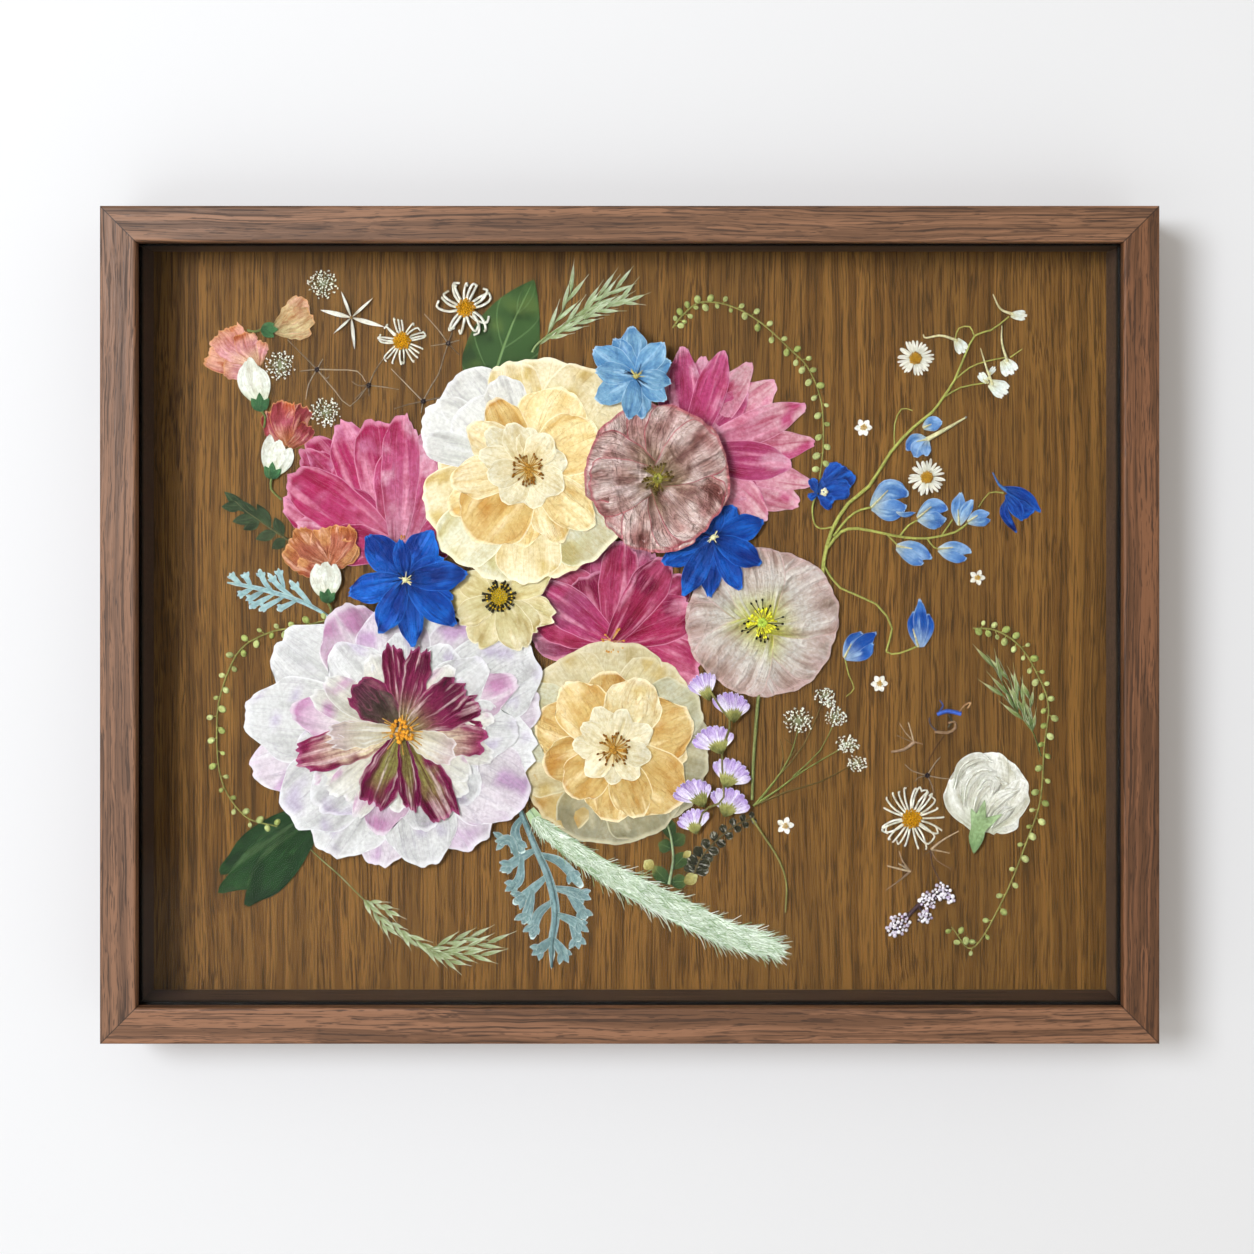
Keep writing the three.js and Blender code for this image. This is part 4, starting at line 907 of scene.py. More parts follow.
# %% Peony
def peony():
    """Guard petals, short ones, shreds and flames, then the boss of stamens."""
    bm = new_plant()
    base = layer(2.5)
    tier(bm, PEONY, GUARDS, base, 0.5, "guard", (20, 16), lift=0.02)
    tier(bm, PEONY, SHORTS, base + 0.65, 0.4, "broad", (16, 12), lift=0.02)
    tier(bm, PEONY, SHREDS, base + 1.0, 0.3, "long", (18, 10))
    for number, (degrees, length, width, kind) in enumerate(FLAMES):
        tints, finish = FLAME_TINTS[kind]
        level = stagger(base + 1.25, number, 0.5)
        petal(bm, PEONY, (degrees, length, width), level, "ragged", tints, (26, 16), finish, 0.2, start=1)
    gold = "#d9982f"
    for _ in range(46):
        spot = around(PEONY, dice.uniform(0, 360), 4.4 * dice.random() ** 0.6)
        bead(bm, spot, dice.uniform(0.55, 0.95), base + dice.uniform(1.9, 2.6), gold, 2)
    for _ in range(26):
        degrees = dice.uniform(0, 360)
        line = [around(PEONY, degrees, 3), around(PEONY, degrees + dice.uniform(-12, 12), dice.uniform(5, 9))]
        thread(bm, line, (0.28, 0.4), base + 2.0, "#c79a4a", 2, steps=1, sides=4)
    thread(bm, [(-69.5, -25.5), (-67.3, -21.8)], (0.5, 0.9), base + 1.6, "#1e1a1c", 2, steps=2)
    show_plant(bm, "peony", [WHITE, FLAME, POLLEN, DUSK])


def show_plant(bm, node, finishes, name=None):
    """Shows a plant in place of its solid, its sheets made into closed shells as thin as paper."""
    sheet = bm.faces.layers.int["sheet"]
    sheets = [face for face in bm.faces if face[sheet]]
    made = bmesh.ops.extrude_face_region(bm, geom=sheets, use_keep_orig=True)["geom"]
    back = [part for part in made if isinstance(part, bmesh.types.BMVert)]
    bmesh.ops.translate(bm, verts=back, vec=(0, PETAL_THICKNESS, 0))
    bmesh.ops.recalc_face_normals(bm, faces=bm.faces)
    bm.faces.layers.int.remove(bm.faces.layers.int["sheet"])
    show(bm, name or node + "_pressed", finishes, [node] if node else [], smooth=True)


peony()

# %% [markdown]
# ## The two roses
# Both are old garden roses the colour of cream: a wide outer tier, a tier of golden petals that puckered
# as they dried, and a small pale rosette round long brown-gold stamens.

# %% Roses' petals
IVORY = shades("#d9c48c", "#d9cba2", "#dcd0b0", "#c9b277", share=0.3)
GREENISH = shades("#d0c8a0", "#ceccb4", "#cfcdb6", "#bfb98c", share=0.3)
GOLDEN = shades("#cdb57a", "#c4a668", "#cbb078", "#b58640", share=0.26)
BUTTERY = shades("#d9c696", "#d9c490", "#dfcf9f", "#c9a45e", share=0.2)
GREY = shades("#b9ae88", "#b0a98a", "#a9a48c", "#8f8a70", share=0.35)
PALE = shades("#c9b47c", "#d9cfb0", "#dcd6c0")
TISSUE_TINT = shades("#d9d8ca", "#e3e2da", "#e6e4df", "#cdc8be", share=0.25)
UPPER_ROSE = (-37.2, 56.1)
LOWER_ROSE = (-5.9, -47.2)
UPPER_TIERS = {
    "outer": [(76, 41, 34, IVORY), (50, 44, 30, IVORY), (20, 32, 28, IVORY), (-5, 33, 22, IVORY),
              (-44, 41.5, 34, GREENISH), (-70, 41, 27, IVORY), (-90, 42, 24, IVORY), (-110, 43, 26, GREENISH),
              (-132, 44, 24, GREENISH), (-154, 41, 28, IVORY), (176, 33, 24, IVORY), (100, 40, 20, IVORY)],
    "tissue": [(128, 43, 26, TISSUE_TINT), (108, 35, 16, TISSUE_TINT), (152, 43, 22, TISSUE_TINT),
               (166, 40, 12, TISSUE_TINT), (140, 33, 24, TISSUE_TINT)],
    "golden": [(62, 32, 29, BUTTERY), (30, 29, 24, BUTTERY), (-10, 25, 16, BUTTERY), (-42, 32, 17, BUTTERY),
               (-66, 30, 15, IVORY), (-95, 29, 18, BUTTERY), (-128, 33, 29, GOLDEN), (-152, 33, 18, BUTTERY),
               (-170, 29, 16, IVORY), (145, 27, 15, IVORY), (118, 29, 15, GOLDEN)],
    "inner": [(137, 21, 11, PALE), (112, 18, 11, PALE), (163, 19, 10, PALE), (-168, 15.5, 11, PALE),
              (-125, 15.5, 12, PALE), (-78, 15, 11, PALE), (-34, 15, 12, PALE), (12, 14.5, 12, PALE),
              (58, 14.5, 12, PALE), (88, 15, 10, PALE)],
}
LOWER_TIERS = {
    "outer": [(7, 35, 22, GREY), (-13, 35.5, 22, GREY), (-34, 35, 22, GREY), (-66, 34.5, 28, GREY),
              (-100, 35.5, 34, GREY), (-80, 35, 24, GREY), (34, 36, 24, GREENISH), (58, 37, 26, IVORY),
              (160, 39, 30, GREENISH), (-170, 36, 26, IVORY), (90, 39.5, 36, IVORY), (124, 39, 28, IVORY),
              (-142, 36, 30, GOLDEN), (-118, 34, 24, IVORY)],
    "golden": [(158, 31, 25, GOLDEN), (128, 30, 21, GOLDEN), (96, 29, 22, GOLDEN), (66, 28, 22, IVORY),
               (22, 31, 25, GOLDEN), (-4, 27, 18, IVORY), (-40, 32, 26, GOLDEN), (-92, 27, 21, GOLDEN),
               (-68, 27, 16, GOLDEN), (-136, 24, 18, GOLDEN), (-166, 27, 18, GOLDEN)],
    "inner": [(112, 17, 10, PALE), (76, 15.5, 9.5, PALE), (30, 16, 10, PALE), (-12, 14, 9.5, PALE),
              (-52, 14, 9, PALE), (-92, 13, 9, PALE), (-136, 14, 9.5, PALE), (172, 15.5, 10, PALE),
              (142, 15, 9, PALE)],
}
print("petals of the upper rose:", sum(len(petals) for petals in UPPER_TIERS.values()))

# %% [markdown]
# A stamen is a fine filament with a small anther at its end. The rose is built from the back, one tier
# after another, and each tier has its own outline, finish and height.

# %% Roses
def stamens(bm, centre, height, inner, outer, count, colour, tip, finish):
    """Fine filaments that lie outwards from the middle, each with a small anther."""
    for _ in range(count):
        degrees = dice.uniform(0, 360)
        reach = dice.uniform(0.6, 1.0) * outer
        bend = dice.uniform(-16, 16)
        line = [around(centre, degrees, inner), around(centre, degrees + bend * 0.5, reach * 0.6),
                around(centre, degrees + bend, reach)]
        thread(bm, line, (0.3, 0.24), height, colour, finish, steps=2, sides=4, rise=0.3)
        bead(bm, line[-1], 0.42, height + 0.35, tip, finish, stretch=1.5, degrees=degrees)


def rose(node, centre, tiers, number, sheer_outer):
    """A rose's tiers from the back to the front. Each tier has its own finish and outline."""
    bm = new_plant()
    base = layer(number)
    plan = (("outer", 0.0, "fan", 1 if sheer_outer else 0, (18, 14)), ("tissue", 0.2, "fan", 2, (18, 12)),
            ("golden", 0.6, "broad", 4, (16, 12)), ("inner", 1.2, "broad", 0, (12, 10)))
    for name, above, outline, finish, cells in plan:
        tier(bm, centre, tiers.get(name, []), base + above, 0.42, outline, cells, finish)
    stamens(bm, centre, base + 1.75, 0.4, 6.5, 44, "#b98a3a", "#8f5f1e", 3)
    for _ in range(16):
        bead(bm, around(centre, dice.uniform(0, 360), 1.8 * dice.random()), 0.6, base + 1.8,
             "#a87c30", 3)
    show_plant(bm, node, [CREAM, SHEER, WHITE, POLLEN, GOLD])


rose("rose_upper", UPPER_ROSE, UPPER_TIERS, 4.5, False)
rose("rose_lower", LOWER_ROSE, LOWER_TIERS, 1, True)

# %% [markdown]
# ## Pink flowers
# Magnolia, dahlia and a loose pink peony all press to long petals in a fan, deep pink at the base and
# paler and more veined towards the tip.

# %% Pink flowers
DEEP = shades("#bb7088", "#a83262", "#a02254", "#c480a0", share=0.25)
SOFT = shades("#c48a9c", "#b85880", "#b0386a", "#d3a4b4", share=0.35)
SHELL = shades("#b04a74", "#c68498", "#d6b4b6", "#b84876", share=0.25)
MAGENTA = shades("#b2607c", "#a83a6a", "#b4507c", "#cf9cae", share=0.3)
CRIMSON = shades("#8a1c46", "#9a2450", "#aa4468", "#7a163e", share=0.4)
ROSE_PINK = shades("#96244e", "#a83a62", "#b8647e", "#9c2c56", share=0.4)
DUSTY = shades("#a0285a", "#943862", "#8f6070", "#a83e6c", share=0.4)
PINKS = {
    "magnolia": ((-85.6, 26.6), [
        (156, 45.5, 17, DEEP), (167, 38, 13, SOFT), (134, 50, 12, DEEP), (146, 48.5, 16, DEEP),
        (115, 50.5, 15, DEEP), (128, 52, 13, DEEP), (100, 48.5, 17, DEEP), (121, 41, 14, SOFT),
        (88, 49.5, 12, SOFT), (70, 47, 15, SOFT), (65, 36, 18, DEEP), (83, 39, 20, SOFT), (43, 30, 17, DEEP),
        (104, 34, 14, DEEP), (138, 30, 13, DEEP), (20, 22, 15, DEEP), (175, 26, 13, DEEP)]),
    "dahlia": ((21.4, 60.9), [
        (106, 38, 11, MAGENTA), (93, 40, 12, MAGENTA), (81, 37, 11, MAGENTA), (71, 40.5, 12, MAGENTA),
        (56, 41, 12, SHELL), (40, 42, 16, SHELL), (23, 47, 12.5, SHELL), (6, 47, 12.5, SHELL),
        (-5, 38, 15, MAGENTA), (-13, 47, 11, SHELL), (-24, 45, 16, SHELL), (-39, 37.5, 15, SHELL),
        (48, 32, 13, MAGENTA), (14, 34, 14, MAGENTA), (-30, 30, 13, MAGENTA), (65, 30, 12, MAGENTA)]),
    "pink_peony": ((-6.6, -7.3), [
        (177, 29.5, 14, DUSTY), (160, 30, 14, ROSE_PINK), (131, 34, 16, ROSE_PINK), (144, 33, 13, DUSTY),
        (108, 26, 20, CRIMSON), (99, 37, 13, DUSTY), (84, 37, 12, ROSE_PINK), (69, 36, 15, DUSTY),
        (56, 36, 12, CRIMSON), (44, 26, 12, ROSE_PINK), (39, 36, 13, CRIMSON), (22, 32, 15, CRIMSON),
        (4, 32, 15, ROSE_PINK), (-10, 33, 18, CRIMSON), (-22, 34, 18, ROSE_PINK), (118, 20, 12, CRIMSON)]),
}


def pink_flower(node, centre, petals):
    """A fan of long petals round a few stamens."""
    bm = new_plant()
    shape, fuller = ("finger", 1.0) if node == "dahlia" else ("long", 1.2)
    petals = [(degrees, length, width * fuller, tints) for degrees, length, width, tints in petals]
    tier(bm, centre, petals, layer(0), 0.65, shape, (20, 12), lift=0.1)
    stamens(bm, centre, layer(0) + 0.5, 0.5, 5, 14, "#d9b36a", "#c98f3a", 1)
    show_plant(bm, node, [PINK, POLLEN])


for node, (centre, petals) in PINKS.items():
    pink_flower(node, centre, petals)

# %% [markdown]
# ## Poppies
# A poppy petal is the thinnest of all: it dries to crumpled silk, with fine creases that fan out from the
# middle and an edge that keeps more colour than the rest.

# %% Poppies
MAUVE_TINT = shades("#85704a", "#b08c84", "#b67a78", "#dac2bc", share=0.45)
CHALK = shades("#c9cc3c", "#d8d0c8", "#cbb0aa", "#a8958a", share=0.25)
MAUVE_POPPY = (10.3, 52.4)
WHITE_POPPY = (48.7, -0.7)
MAUVE_PETALS = [(120, 28, 27), (63, 27, 27), (7, 26, 28), (-38, 25.5, 27), (-90, 27, 28), (-148, 24.5, 26),
                (167, 27, 27), (92, 27, 22), (35, 26.5, 22), (-64, 26, 22), (-118, 26, 22), (-170, 25.5, 22)]
WHITE_PETALS = [(163, 28, 28), (121, 28.5, 26), (76, 27, 31), (25, 28.5, 29), (-22, 27.5, 29),
                (-72, 27.5, 30), (-126, 27, 30), (-167, 28, 25), (100, 27.5, 24), (50, 28, 24), (-48, 27, 24)]


def poppies():
    """The mauve one is rumpled silk. The white one still has its stem, which is broken in two."""
    bm = new_plant()
    base = layer(6)
    tier(bm, MAUVE_POPPY, MAUVE_PETALS, base, 0.45, "fan", (18, 16), tints=MAUVE_TINT)
    stamens(bm, MAUVE_POPPY, base + 0.75, 0.5, 6, 40, "#8c7d2e", "#5b4a20", 1)
    for number in range(6):
        spot = around(MAUVE_POPPY, 60 * number + 12, 1.2)
        bead(bm, spot, 1.0, base + 0.8, "#8c8a3e", 1, flat=0.5)
    show_plant(bm, "poppy_mauve", [SILK, POLLEN])

    bm = new_plant()
    base = layer(1)
    tier(bm, WHITE_POPPY, WHITE_PETALS, base, 0.45, "fan", (18, 16), tints=CHALK)
    stamens(bm, WHITE_POPPY, base + 0.75, 0.5, 5.5, 46, "#d9d23a", "#e6e23a", 1)
    stamens(bm, WHITE_POPPY, base + 0.7, 2, 8.5, 20, "#3a3322", "#1f1b12", 1)
    for number in range(5):
        bead(bm, around(WHITE_POPPY, 72 * number, 1.1), 1.1, base + 0.8, "#a9c24a", 1, flat=0.5)
    stem = [(48, -22), (46.9, -33), (46.1, -43), (45.4, -54), (45, -66)]
    thread(bm, stem, (1.5, 1.1), 0.8, "#7d8550", 1, steps=12, sides=6)
    thread(bm, [(45, -73), (50.2, -80.7), (55, -88.5), (57.6, -97), (57.3, -107.5)], (0.9, 0.6), 0.8,
           "#8a8a50", 1, steps=12, sides=5)
    show_plant(bm, "poppy_white", [TISSUE, STEM])


poppies()

# %% [markdown]
# ## Blue flowers
# Delphinium and larkspur keep their blue when pressed. Their pointed petals have darker veins and a
# small pale eye, the bee, in the middle.

# %% Blue flowers
ROYAL = shades("#0a3478", "#0b4a9c", "#1260b8", "#08307c", share=0.4)
AZURE = shades("#4f82ae", "#719cba", "#82aac4", "#5586ae", share=0.4)
BLUES = {
    "delphinium_left": ((-82.2, 15.2), 6, ROYAL, [
        (131, 21.5, 14.5), (98, 15, 8), (62, 20.5, 15.5), (6, 22.5, 13), (30, 16, 9), (-22, 19, 9),
        (-42, 24.5, 13), (-83, 24.5, 11.5), (-116, 21.5, 12.5), (-166, 21.5, 13.5)]),
    "delphinium_middle": ((30.6, 30.7), 2.5, ROYAL, [
        (56, 14, 12), (85, 13, 9), (18, 19.5, 11.5), (-29, 20, 12), (-63, 22, 9.5), (-94, 22, 10),
        (-117, 24, 10.5), (-153, 21, 11.5), (-172, 18, 9), (150, 12, 9)]),
    "larkspur_pale": ((2.2, 89.7), 7, AZURE, [
        (95, 18.5, 12), (50, 16, 11), (23, 14, 10), (-10, 13, 9), (-39, 14, 9), (-80, 15.5, 10), (-99, 16, 9),
        (-148, 17, 12), (172, 15, 10), (147, 18.5, 12.5), (120, 16, 10)]),
}


def blue_flower(node, centre, number, tints, petals):
    """A floret of slender petals round a pale eye."""
    bm = new_plant()
    base = layer(number)
    slender = [(turn, reach, 0.84 * width) for turn, reach, width in petals]
    tier(bm, centre, slender, base, 0.4, "spoon", (18, 12), tints=tints)
    eye = "#e6e3b0" if node != "larkspur_pale" else "#b9b06a"
    for _ in range(9):
        degrees = dice.uniform(0, 360)
        line = [around(centre, degrees, 0.3), around(centre, degrees + 15, dice.uniform(1.6, 3.4))]
        thread(bm, line, (0.5, 0.25), base + 0.75, eye, 1, steps=1, sides=4, rise=0.3)
    for _ in range(8):
        degrees = dice.uniform(0, 360)
        line = [around(centre, degrees, 1), around(centre, degrees + 20, dice.uniform(3, 5.5))]
        thread(bm, line, (0.3, 0.2), base + 0.8, "#1d2340", 1, steps=1, sides=4)
    bead(bm, centre, 1.2, base + 0.8, eye, 1, flat=0.5)
    finish = SKY if node == "larkspur_pale" else BLUE
    show_plant(bm, node, [finish, POLLEN])


for node, (centre, number, tints, petals) in BLUES.items():
    blue_flower(node, centre, number, tints, petals)

# %% [markdown]
# ## Daisies
# Ray flowers have a disc of tiny florets and a ring of strap petals. The cosmos has ten wide cream ones,
# the chamomiles have narrow ones that curled as they dried, and the common daisies have many short ones.

# %% Daisies
COSMOS = (-47.9, 8.9)
COSMOS_PETALS = [(-176, 19.5, 14), (-150, 18, 12), (-115, 20.5, 15.5), (-65, 21.5, 15.5), (-40, 19, 12),
                 (-21, 22, 14), (26, 20.5, 14), (62, 15, 12), (90, 13.5, 12), (155, 17, 12)]
BUTTER = shades("#b9ac74", "#c9bf94", "#cfc5a2", "#b0a06a", share=0.35)
CHALKY = shades("#d9d6c6", "#e4e2d9", "#e9e7df")


def disc(bm, centre, radius, height, colour, shadow, count, size):
    """A cushion of tiny florets, laid out as they grow, in spirals."""
    for number in range(count):
        share = (number + 0.5) / count
        spot = spiral(centre, radius, number, count)
        tone = mix(linear(colour), linear(shadow), dice.random() * 0.7 * share)
        bead(bm, spot, size * dice.uniform(0.8, 1.1), height + 0.5 * (1 - share), tone, 1, flat=0.8)


def cosmos():
    """Wide notched petals, a yellow disc and a ring of dark florets with yellow tips."""
    bm = new_plant()
    base = layer(3.5)
    petals = [(turn, reach, 0.86 * width) for turn, reach, width in COSMOS_PETALS]
    tier(bm, COSMOS, petals, base, 0.35, "notched", (14, 12), lift=0.1, tints=BUTTER)
    disc(bm, COSMOS, 3.6, base + 0.7, "#c9a81c", "#8a6f14", 60, 0.5)
    for number in range(22):
        degrees = number * 360 / 22 + dice.uniform(-6, 6)
        line = [around(COSMOS, degrees, 3.0), around(COSMOS, degrees, dice.uniform(4.8, 6.6))]
        thread(bm, line, (0.9, 1.1), base + 0.75, "#2a2418", 1, steps=1)
        bead(bm, around(COSMOS, degrees + 7, 4.6), 0.45, base + 0.95, "#d8b52a", 1)
    show_plant(bm, "cosmos", [CREAM, POLLEN])


def ray_flower(node, centre, number, count, reach, width, radius, tones, curl, rolled=False):
    """A daisy: strap petals all the way round, some bent, and a disc."""
    bm = new_plant()
    base = layer(number)
    for ray in range(count):
        degrees = 360 * (ray + dice.uniform(-0.25, 0.25)) / count
        length = reach * dice.uniform(0.86, 1.04)
        bend = dice.uniform(-curl, curl)
        line = [around(centre, degrees, radius * 0.7), around(centre, degrees + bend * 0.4, length * 0.65),
                around(centre, degrees + bend, length)]
        level = stagger(base, ray, 0.3)
        if rolled:
            hook = around(centre, degrees + bend * dice.uniform(1, 2.6), length * dice.uniform(0.86, 1.08))
            thread(bm, line + [hook], (width, width * 0.75), level, CHALKY[1], 0, steps=7, sides=5)
        else:
            blade(bm, line, width * dice.uniform(0.8, 1.1), level, "strap", CHALKY, (10, 4), 0, 0.15)
    disc(bm, centre, radius, base + 0.6, *tones, 56, radius * 0.16)
    show_plant(bm, node, [DAISY, POLLEN])


cosmos()
GOLD_DISC = ("#cc920f", "#8a5c08")
TAN_DISC = ("#c2922b", "#94691c")
ray_flower("chamomile_1", (-84.1, 103), 0, 22, 8.6, 0.8, 3.3, GOLD_DISC, 14, rolled=True)
ray_flower("chamomile_2", (-60.5, 115.1), 1, 18, 10.4, 1.15, 3.4, GOLD_DISC, 26, rolled=True)
ray_flower("chamomile_3", (103.7, -73), 0, 26, 11.6, 0.85, 3.6, GOLD_DISC, 14, rolled=True)
ray_flower("daisy_1", (105.1, 96.7), 0, 26, 6.9, 1.1, 2.3, TAN_DISC, 7)
ray_flower("daisy_2", (109.2, 52.8), 1, 26, 6.9, 1.1, 2.3, TAN_DISC, 7)

# %% [markdown]
# ## Leaves
# A broad leaf keeps the herringbone of its side veins, so it gets a finish of its own, drawn from the UV
# map: a line each time that the way along the leaf, less the way out from the midrib, passes a step.
# The silver leaves are cut into narrow felted lobes, each of which splits again at its tip.

# %% Leaves
def herringbone_finish(name, pairs, vein, slant=2.4):
    """A leaf with a midrib and slanting side veins."""
    made, tree, shader = start_material(name, Roughness=0.5, IOR=1.45, Specular_IOR_Level=0.15)
    painted = add(tree, "ShaderNodeAttribute", attribute_name="tint").outputs["Color"]
    place = add(tree, "ShaderNodeTexCoord").outputs["Object"]
    flat = add(tree, "ShaderNodeSeparateXYZ", {0: add(tree, "ShaderNodeUVMap", uv_map="petal").outputs[0]})
    side = add(tree, "ShaderNodeMath", {0: flat.outputs[1], 1: 2.0, 2: -1.0}, operation="MULTIPLY_ADD")
    side = add(tree, "ShaderNodeMath", {0: side.outputs[0]}, operation="ABSOLUTE").outputs[0]
    rise = add(tree, "ShaderNodeMath", {0: side, 1: -slant}, operation="MULTIPLY").outputs[0]
    rise = add(tree, "ShaderNodeMath", {0: flat.outputs[0], 1: pairs, 2: rise}, operation="MULTIPLY_ADD")
    cycle = add(tree, "ShaderNodeMath", {0: rise.outputs[0], 1: 1.0}, operation="PINGPONG").outputs[0]
    lines = []
    for pattern, low, high, weight in ((cycle, 0.0, 0.12, 0.4), (side, 0.015, 0.05, 0.8)):
        span = {"Value": pattern, "From Min": low, "From Max": high, "To Min": weight, "To Max": 0.0}
        lines.append(add(tree, "ShaderNodeMapRange", span, interpolation_type="SMOOTHSTEP").outputs[0])
    veins = add(tree, "ShaderNodeMath", {0: lines[0], 1: lines[1]}, operation="MAXIMUM").outputs[0]
    colour = add(tree, "ShaderNodeMix", {0: veins, 6: painted, 7: vein}, data_type="RGBA").outputs[2]
    cloud = add(tree, "ShaderNodeTexNoise", {"Vector": place, "Scale": 1 / (6 * MM),
                                             "Detail": 4.0}).outputs[0]
    colour = coat(tree, colour, "#8f9c72", cloud, 0.45, 0.7, 0.0, 0.6, mode="MULTIPLY")
    tree.links.new(colour, shader.inputs["Base Color"])
    relief = add(tree, "ShaderNodeBump", {"Strength": 0.5, "Distance": 0.3 * MM, "Height": veins},
                 invert=True)
    tree.links.new(relief.outputs[0], shader.inputs["Normal"])
    return made


BROADLEAF = herringbone_finish("pressed leaf, side veins", 8.0, "#6a8450")
MOSS = shades("#2c4420", "#2f4a20", "#385626", "#485c28", share=0.35)
DEEP_GREEN = shades("#152f14", "#183818", "#1f421b", "#0f2810", share=0.35)
BOTTLE = shades("#39442e", "#313e2a", "#3a4934", "#252f20", share=0.4)
ICE = shades("#8fb0b4", "#9dbcc0", "#abc6c8")
SAGE = shades("#6f8888", "#748e90", "#869e9e")
THREE_LOBES = [([(-112, -68), (-132, -80.5), (-151.4, -93)], 15),
               ([(-114, -70), (-134, -88), (-151.6, -100)], 14),
               ([(-114, -72), (-130, -90), (-141.5, -105)], 15)]
DARK_STALK = [(-124, 28.5), (-131, 33), (-135.3, 36), (-141.7, 40.4), (-145.5, 44)]
DARK_LEAFLETS = [[(-141, 40), (-149.5, 47.5)], [(-136.5, 37), (-144.5, 44.5)], [(-138.5, 38), (-146.5, 36.5)],
                 [(-136.5, 37), (-142.5, 33.5)], [(-132.5, 34.5), (-137.5, 43)], [(-130.5, 32.5), (-138, 30)],
                 [(-128, 31), (-131, 38)], [(-143, 42), (-150.5, 42)], [(-127, 30), (-132, 26.5)]]
LEFT_RIB = [(-110, 0.5), (-115, 3.9), (-123, 7.7), (-133.8, 11), (-140, 12.5), (-148.5, 14)]
LEFT_LOBES = [
    [(-131.5, 10.5), (-134.6, 14), (-136.8, 19)], [(-124, 8.5), (-129.3, 12.5), (-133.5, 17.4)],
    [(-127.4, 12), (-129.7, 18.6)], [(-117, 5), (-120.8, 9.5), (-125.6, 14.8)],
    [(-139.5, 12.5), (-142.1, 17)],
    [(-139, 12), (-144.2, 9.2)], [(-135, 11), (-141, 7.5)], [(-131, 9.8), (-140.6, 4.6)],
    [(-127.5, 8.8), (-136.8, 3.7)], [(-123, 7.3), (-130.1, 3.9)], [(-143, 13), (-147.5, 17)],
]
LOWER_RIB = [(-40.3, -70.4), (-34.6, -84.3), (-31, -92), (-28.4, -100.4), (-27.4, -108.7), (-28.7, -118.5),
             (-28.9, -127.8)]
LOWER_LOBES = [
    [(-39.5, -72), (-42.4, -78), (-39.5, -86)], [(-34.6, -84.3), (-41.3, -88), (-47.6, -92.6)],
    [(-39.8, -87.2), (-40.8, -95.2), (-44.5, -98.8)], [(-41.6, -87), (-44.3, -81), (-48.6, -81.7)],
    [(-30.5, -94), (-36.2, -99.3), (-43, -104.5)], [(-35.9, -99.3), (-37.2, -105.6), (-39.3, -111.8)],
    [(-28, -103), (-34.1, -108.7), (-36.2, -117.5)], [(-34, -86), (-25.2, -89.4), (-17.5, -98.4)],
    [(-29.3, -98.4), (-21.7, -99.9), (-15.2, -102)], [(-23.2, -99.9), (-19.6, -104.5), (-16, -110)],
    [(-27.6, -108), (-21.2, -110.7), (-17.5, -112.8)], [(-22.2, -110.4), (-20.1, -114.9), (-19.1, -118.5)],
    [(-28.5, -117), (-34.1, -122.1)], [(-28.5, -117), (-23.7, -123.7)],
]
print("pieces of leaf to lay:", len(THREE_LOBES + DARK_LEAFLETS + LEFT_LOBES + LOWER_LOBES) + 1)


def silver_leaf(node, rib, lobes, width, tints):
    """A felted leaf cut into lobes. Each lobe ends in three short fingers."""
    bm = new_plant()
    base = layer(0)
    thread(bm, rib, (width * 0.45, width * 0.3), base + 0.1, tints[1], 0, steps=14, sides=6)
    blade(bm, rib, width * 0.8, base + 0.05, "strap", tints, (24, 4), 0)
    for line in lobes:
        blade(bm, line, width * 0.95, base + 0.25 * dice.random(), "plume", tints, (10, 6), 0)
        end, way = along(line, 0.7)
        for turn in (-46, -6, 34):
            finger = [end, end + turned(way, turn) * width * dice.uniform(1.0, 1.4)]
            blade(bm, finger, width * 0.62, base + 0.25 * dice.random(), "oval", tints, (7, 4), 0)
    show_plant(bm, node, [SILVER])


def leaves():
    """The broad leaf, the dark three-lobed one, a dark sprig and two silver leaves."""
    bm = new_plant()
    blade(bm, [(-52, 80), (-49.5, 92), (-43.5, 109), (-35.6, 125.4)], 27, layer(0), "leaf", MOSS, (26, 16))
    show_plant(bm, "leaf_pointed", [BROADLEAF])
    bm = new_plant()
    for number, (line, width) in enumerate(THREE_LOBES):
        blade(bm, line, width, layer(0) + 0.2 * number, "oval", DEEP_GREEN, (20, 8), 0)
    show_plant(bm, "leaf_three_lobed", [LEAF])
    bm = new_plant()
    thread(bm, DARK_STALK, (0.9, 0.5), layer(0) + 0.1, "#5a5a3c", 1)
    for line in DARK_LEAFLETS:
        blade(bm, line, 4.2, layer(0) + 0.3 * dice.random(), "leaf", BOTTLE, (10, 6), 0)
    show_plant(bm, "foliage_dark", [LEAF, STEM])
    silver_leaf("silver_leaf_left", LEFT_RIB, LEFT_LOBES, 2.1, ICE)
    silver_leaf("silver_leaf_lower", LOWER_RIB, LOWER_LOBES, 3.9, SAGE)


leaves()

# %% [markdown]
# ## Grasses
# A grass ear is a stalk with spikelets, and each spikelet a row of narrow overlapping scales that end in
# a bristle. The foxtail is all hair: some two thousand fine tapered threads that lean out of a core.

# %% Grasses
LEAF_PALE = petal_finish("dried grass, pale and ribbed", "#7f8f5a", 0.45, 5, "#eceede", 0.0, rough=0.55,
                         bruise_and_fold_shade="#c9c8a0")
HAIR = plain_finish("grass hair, pale and silky", 0.5, 3.0, "#e3ead8")
STRAW = shades("#8fa070", "#adbc98", "#cdd6ba")
WHEAT = shades("#7f8a5c", "#a2b088", "#cdd6bc")


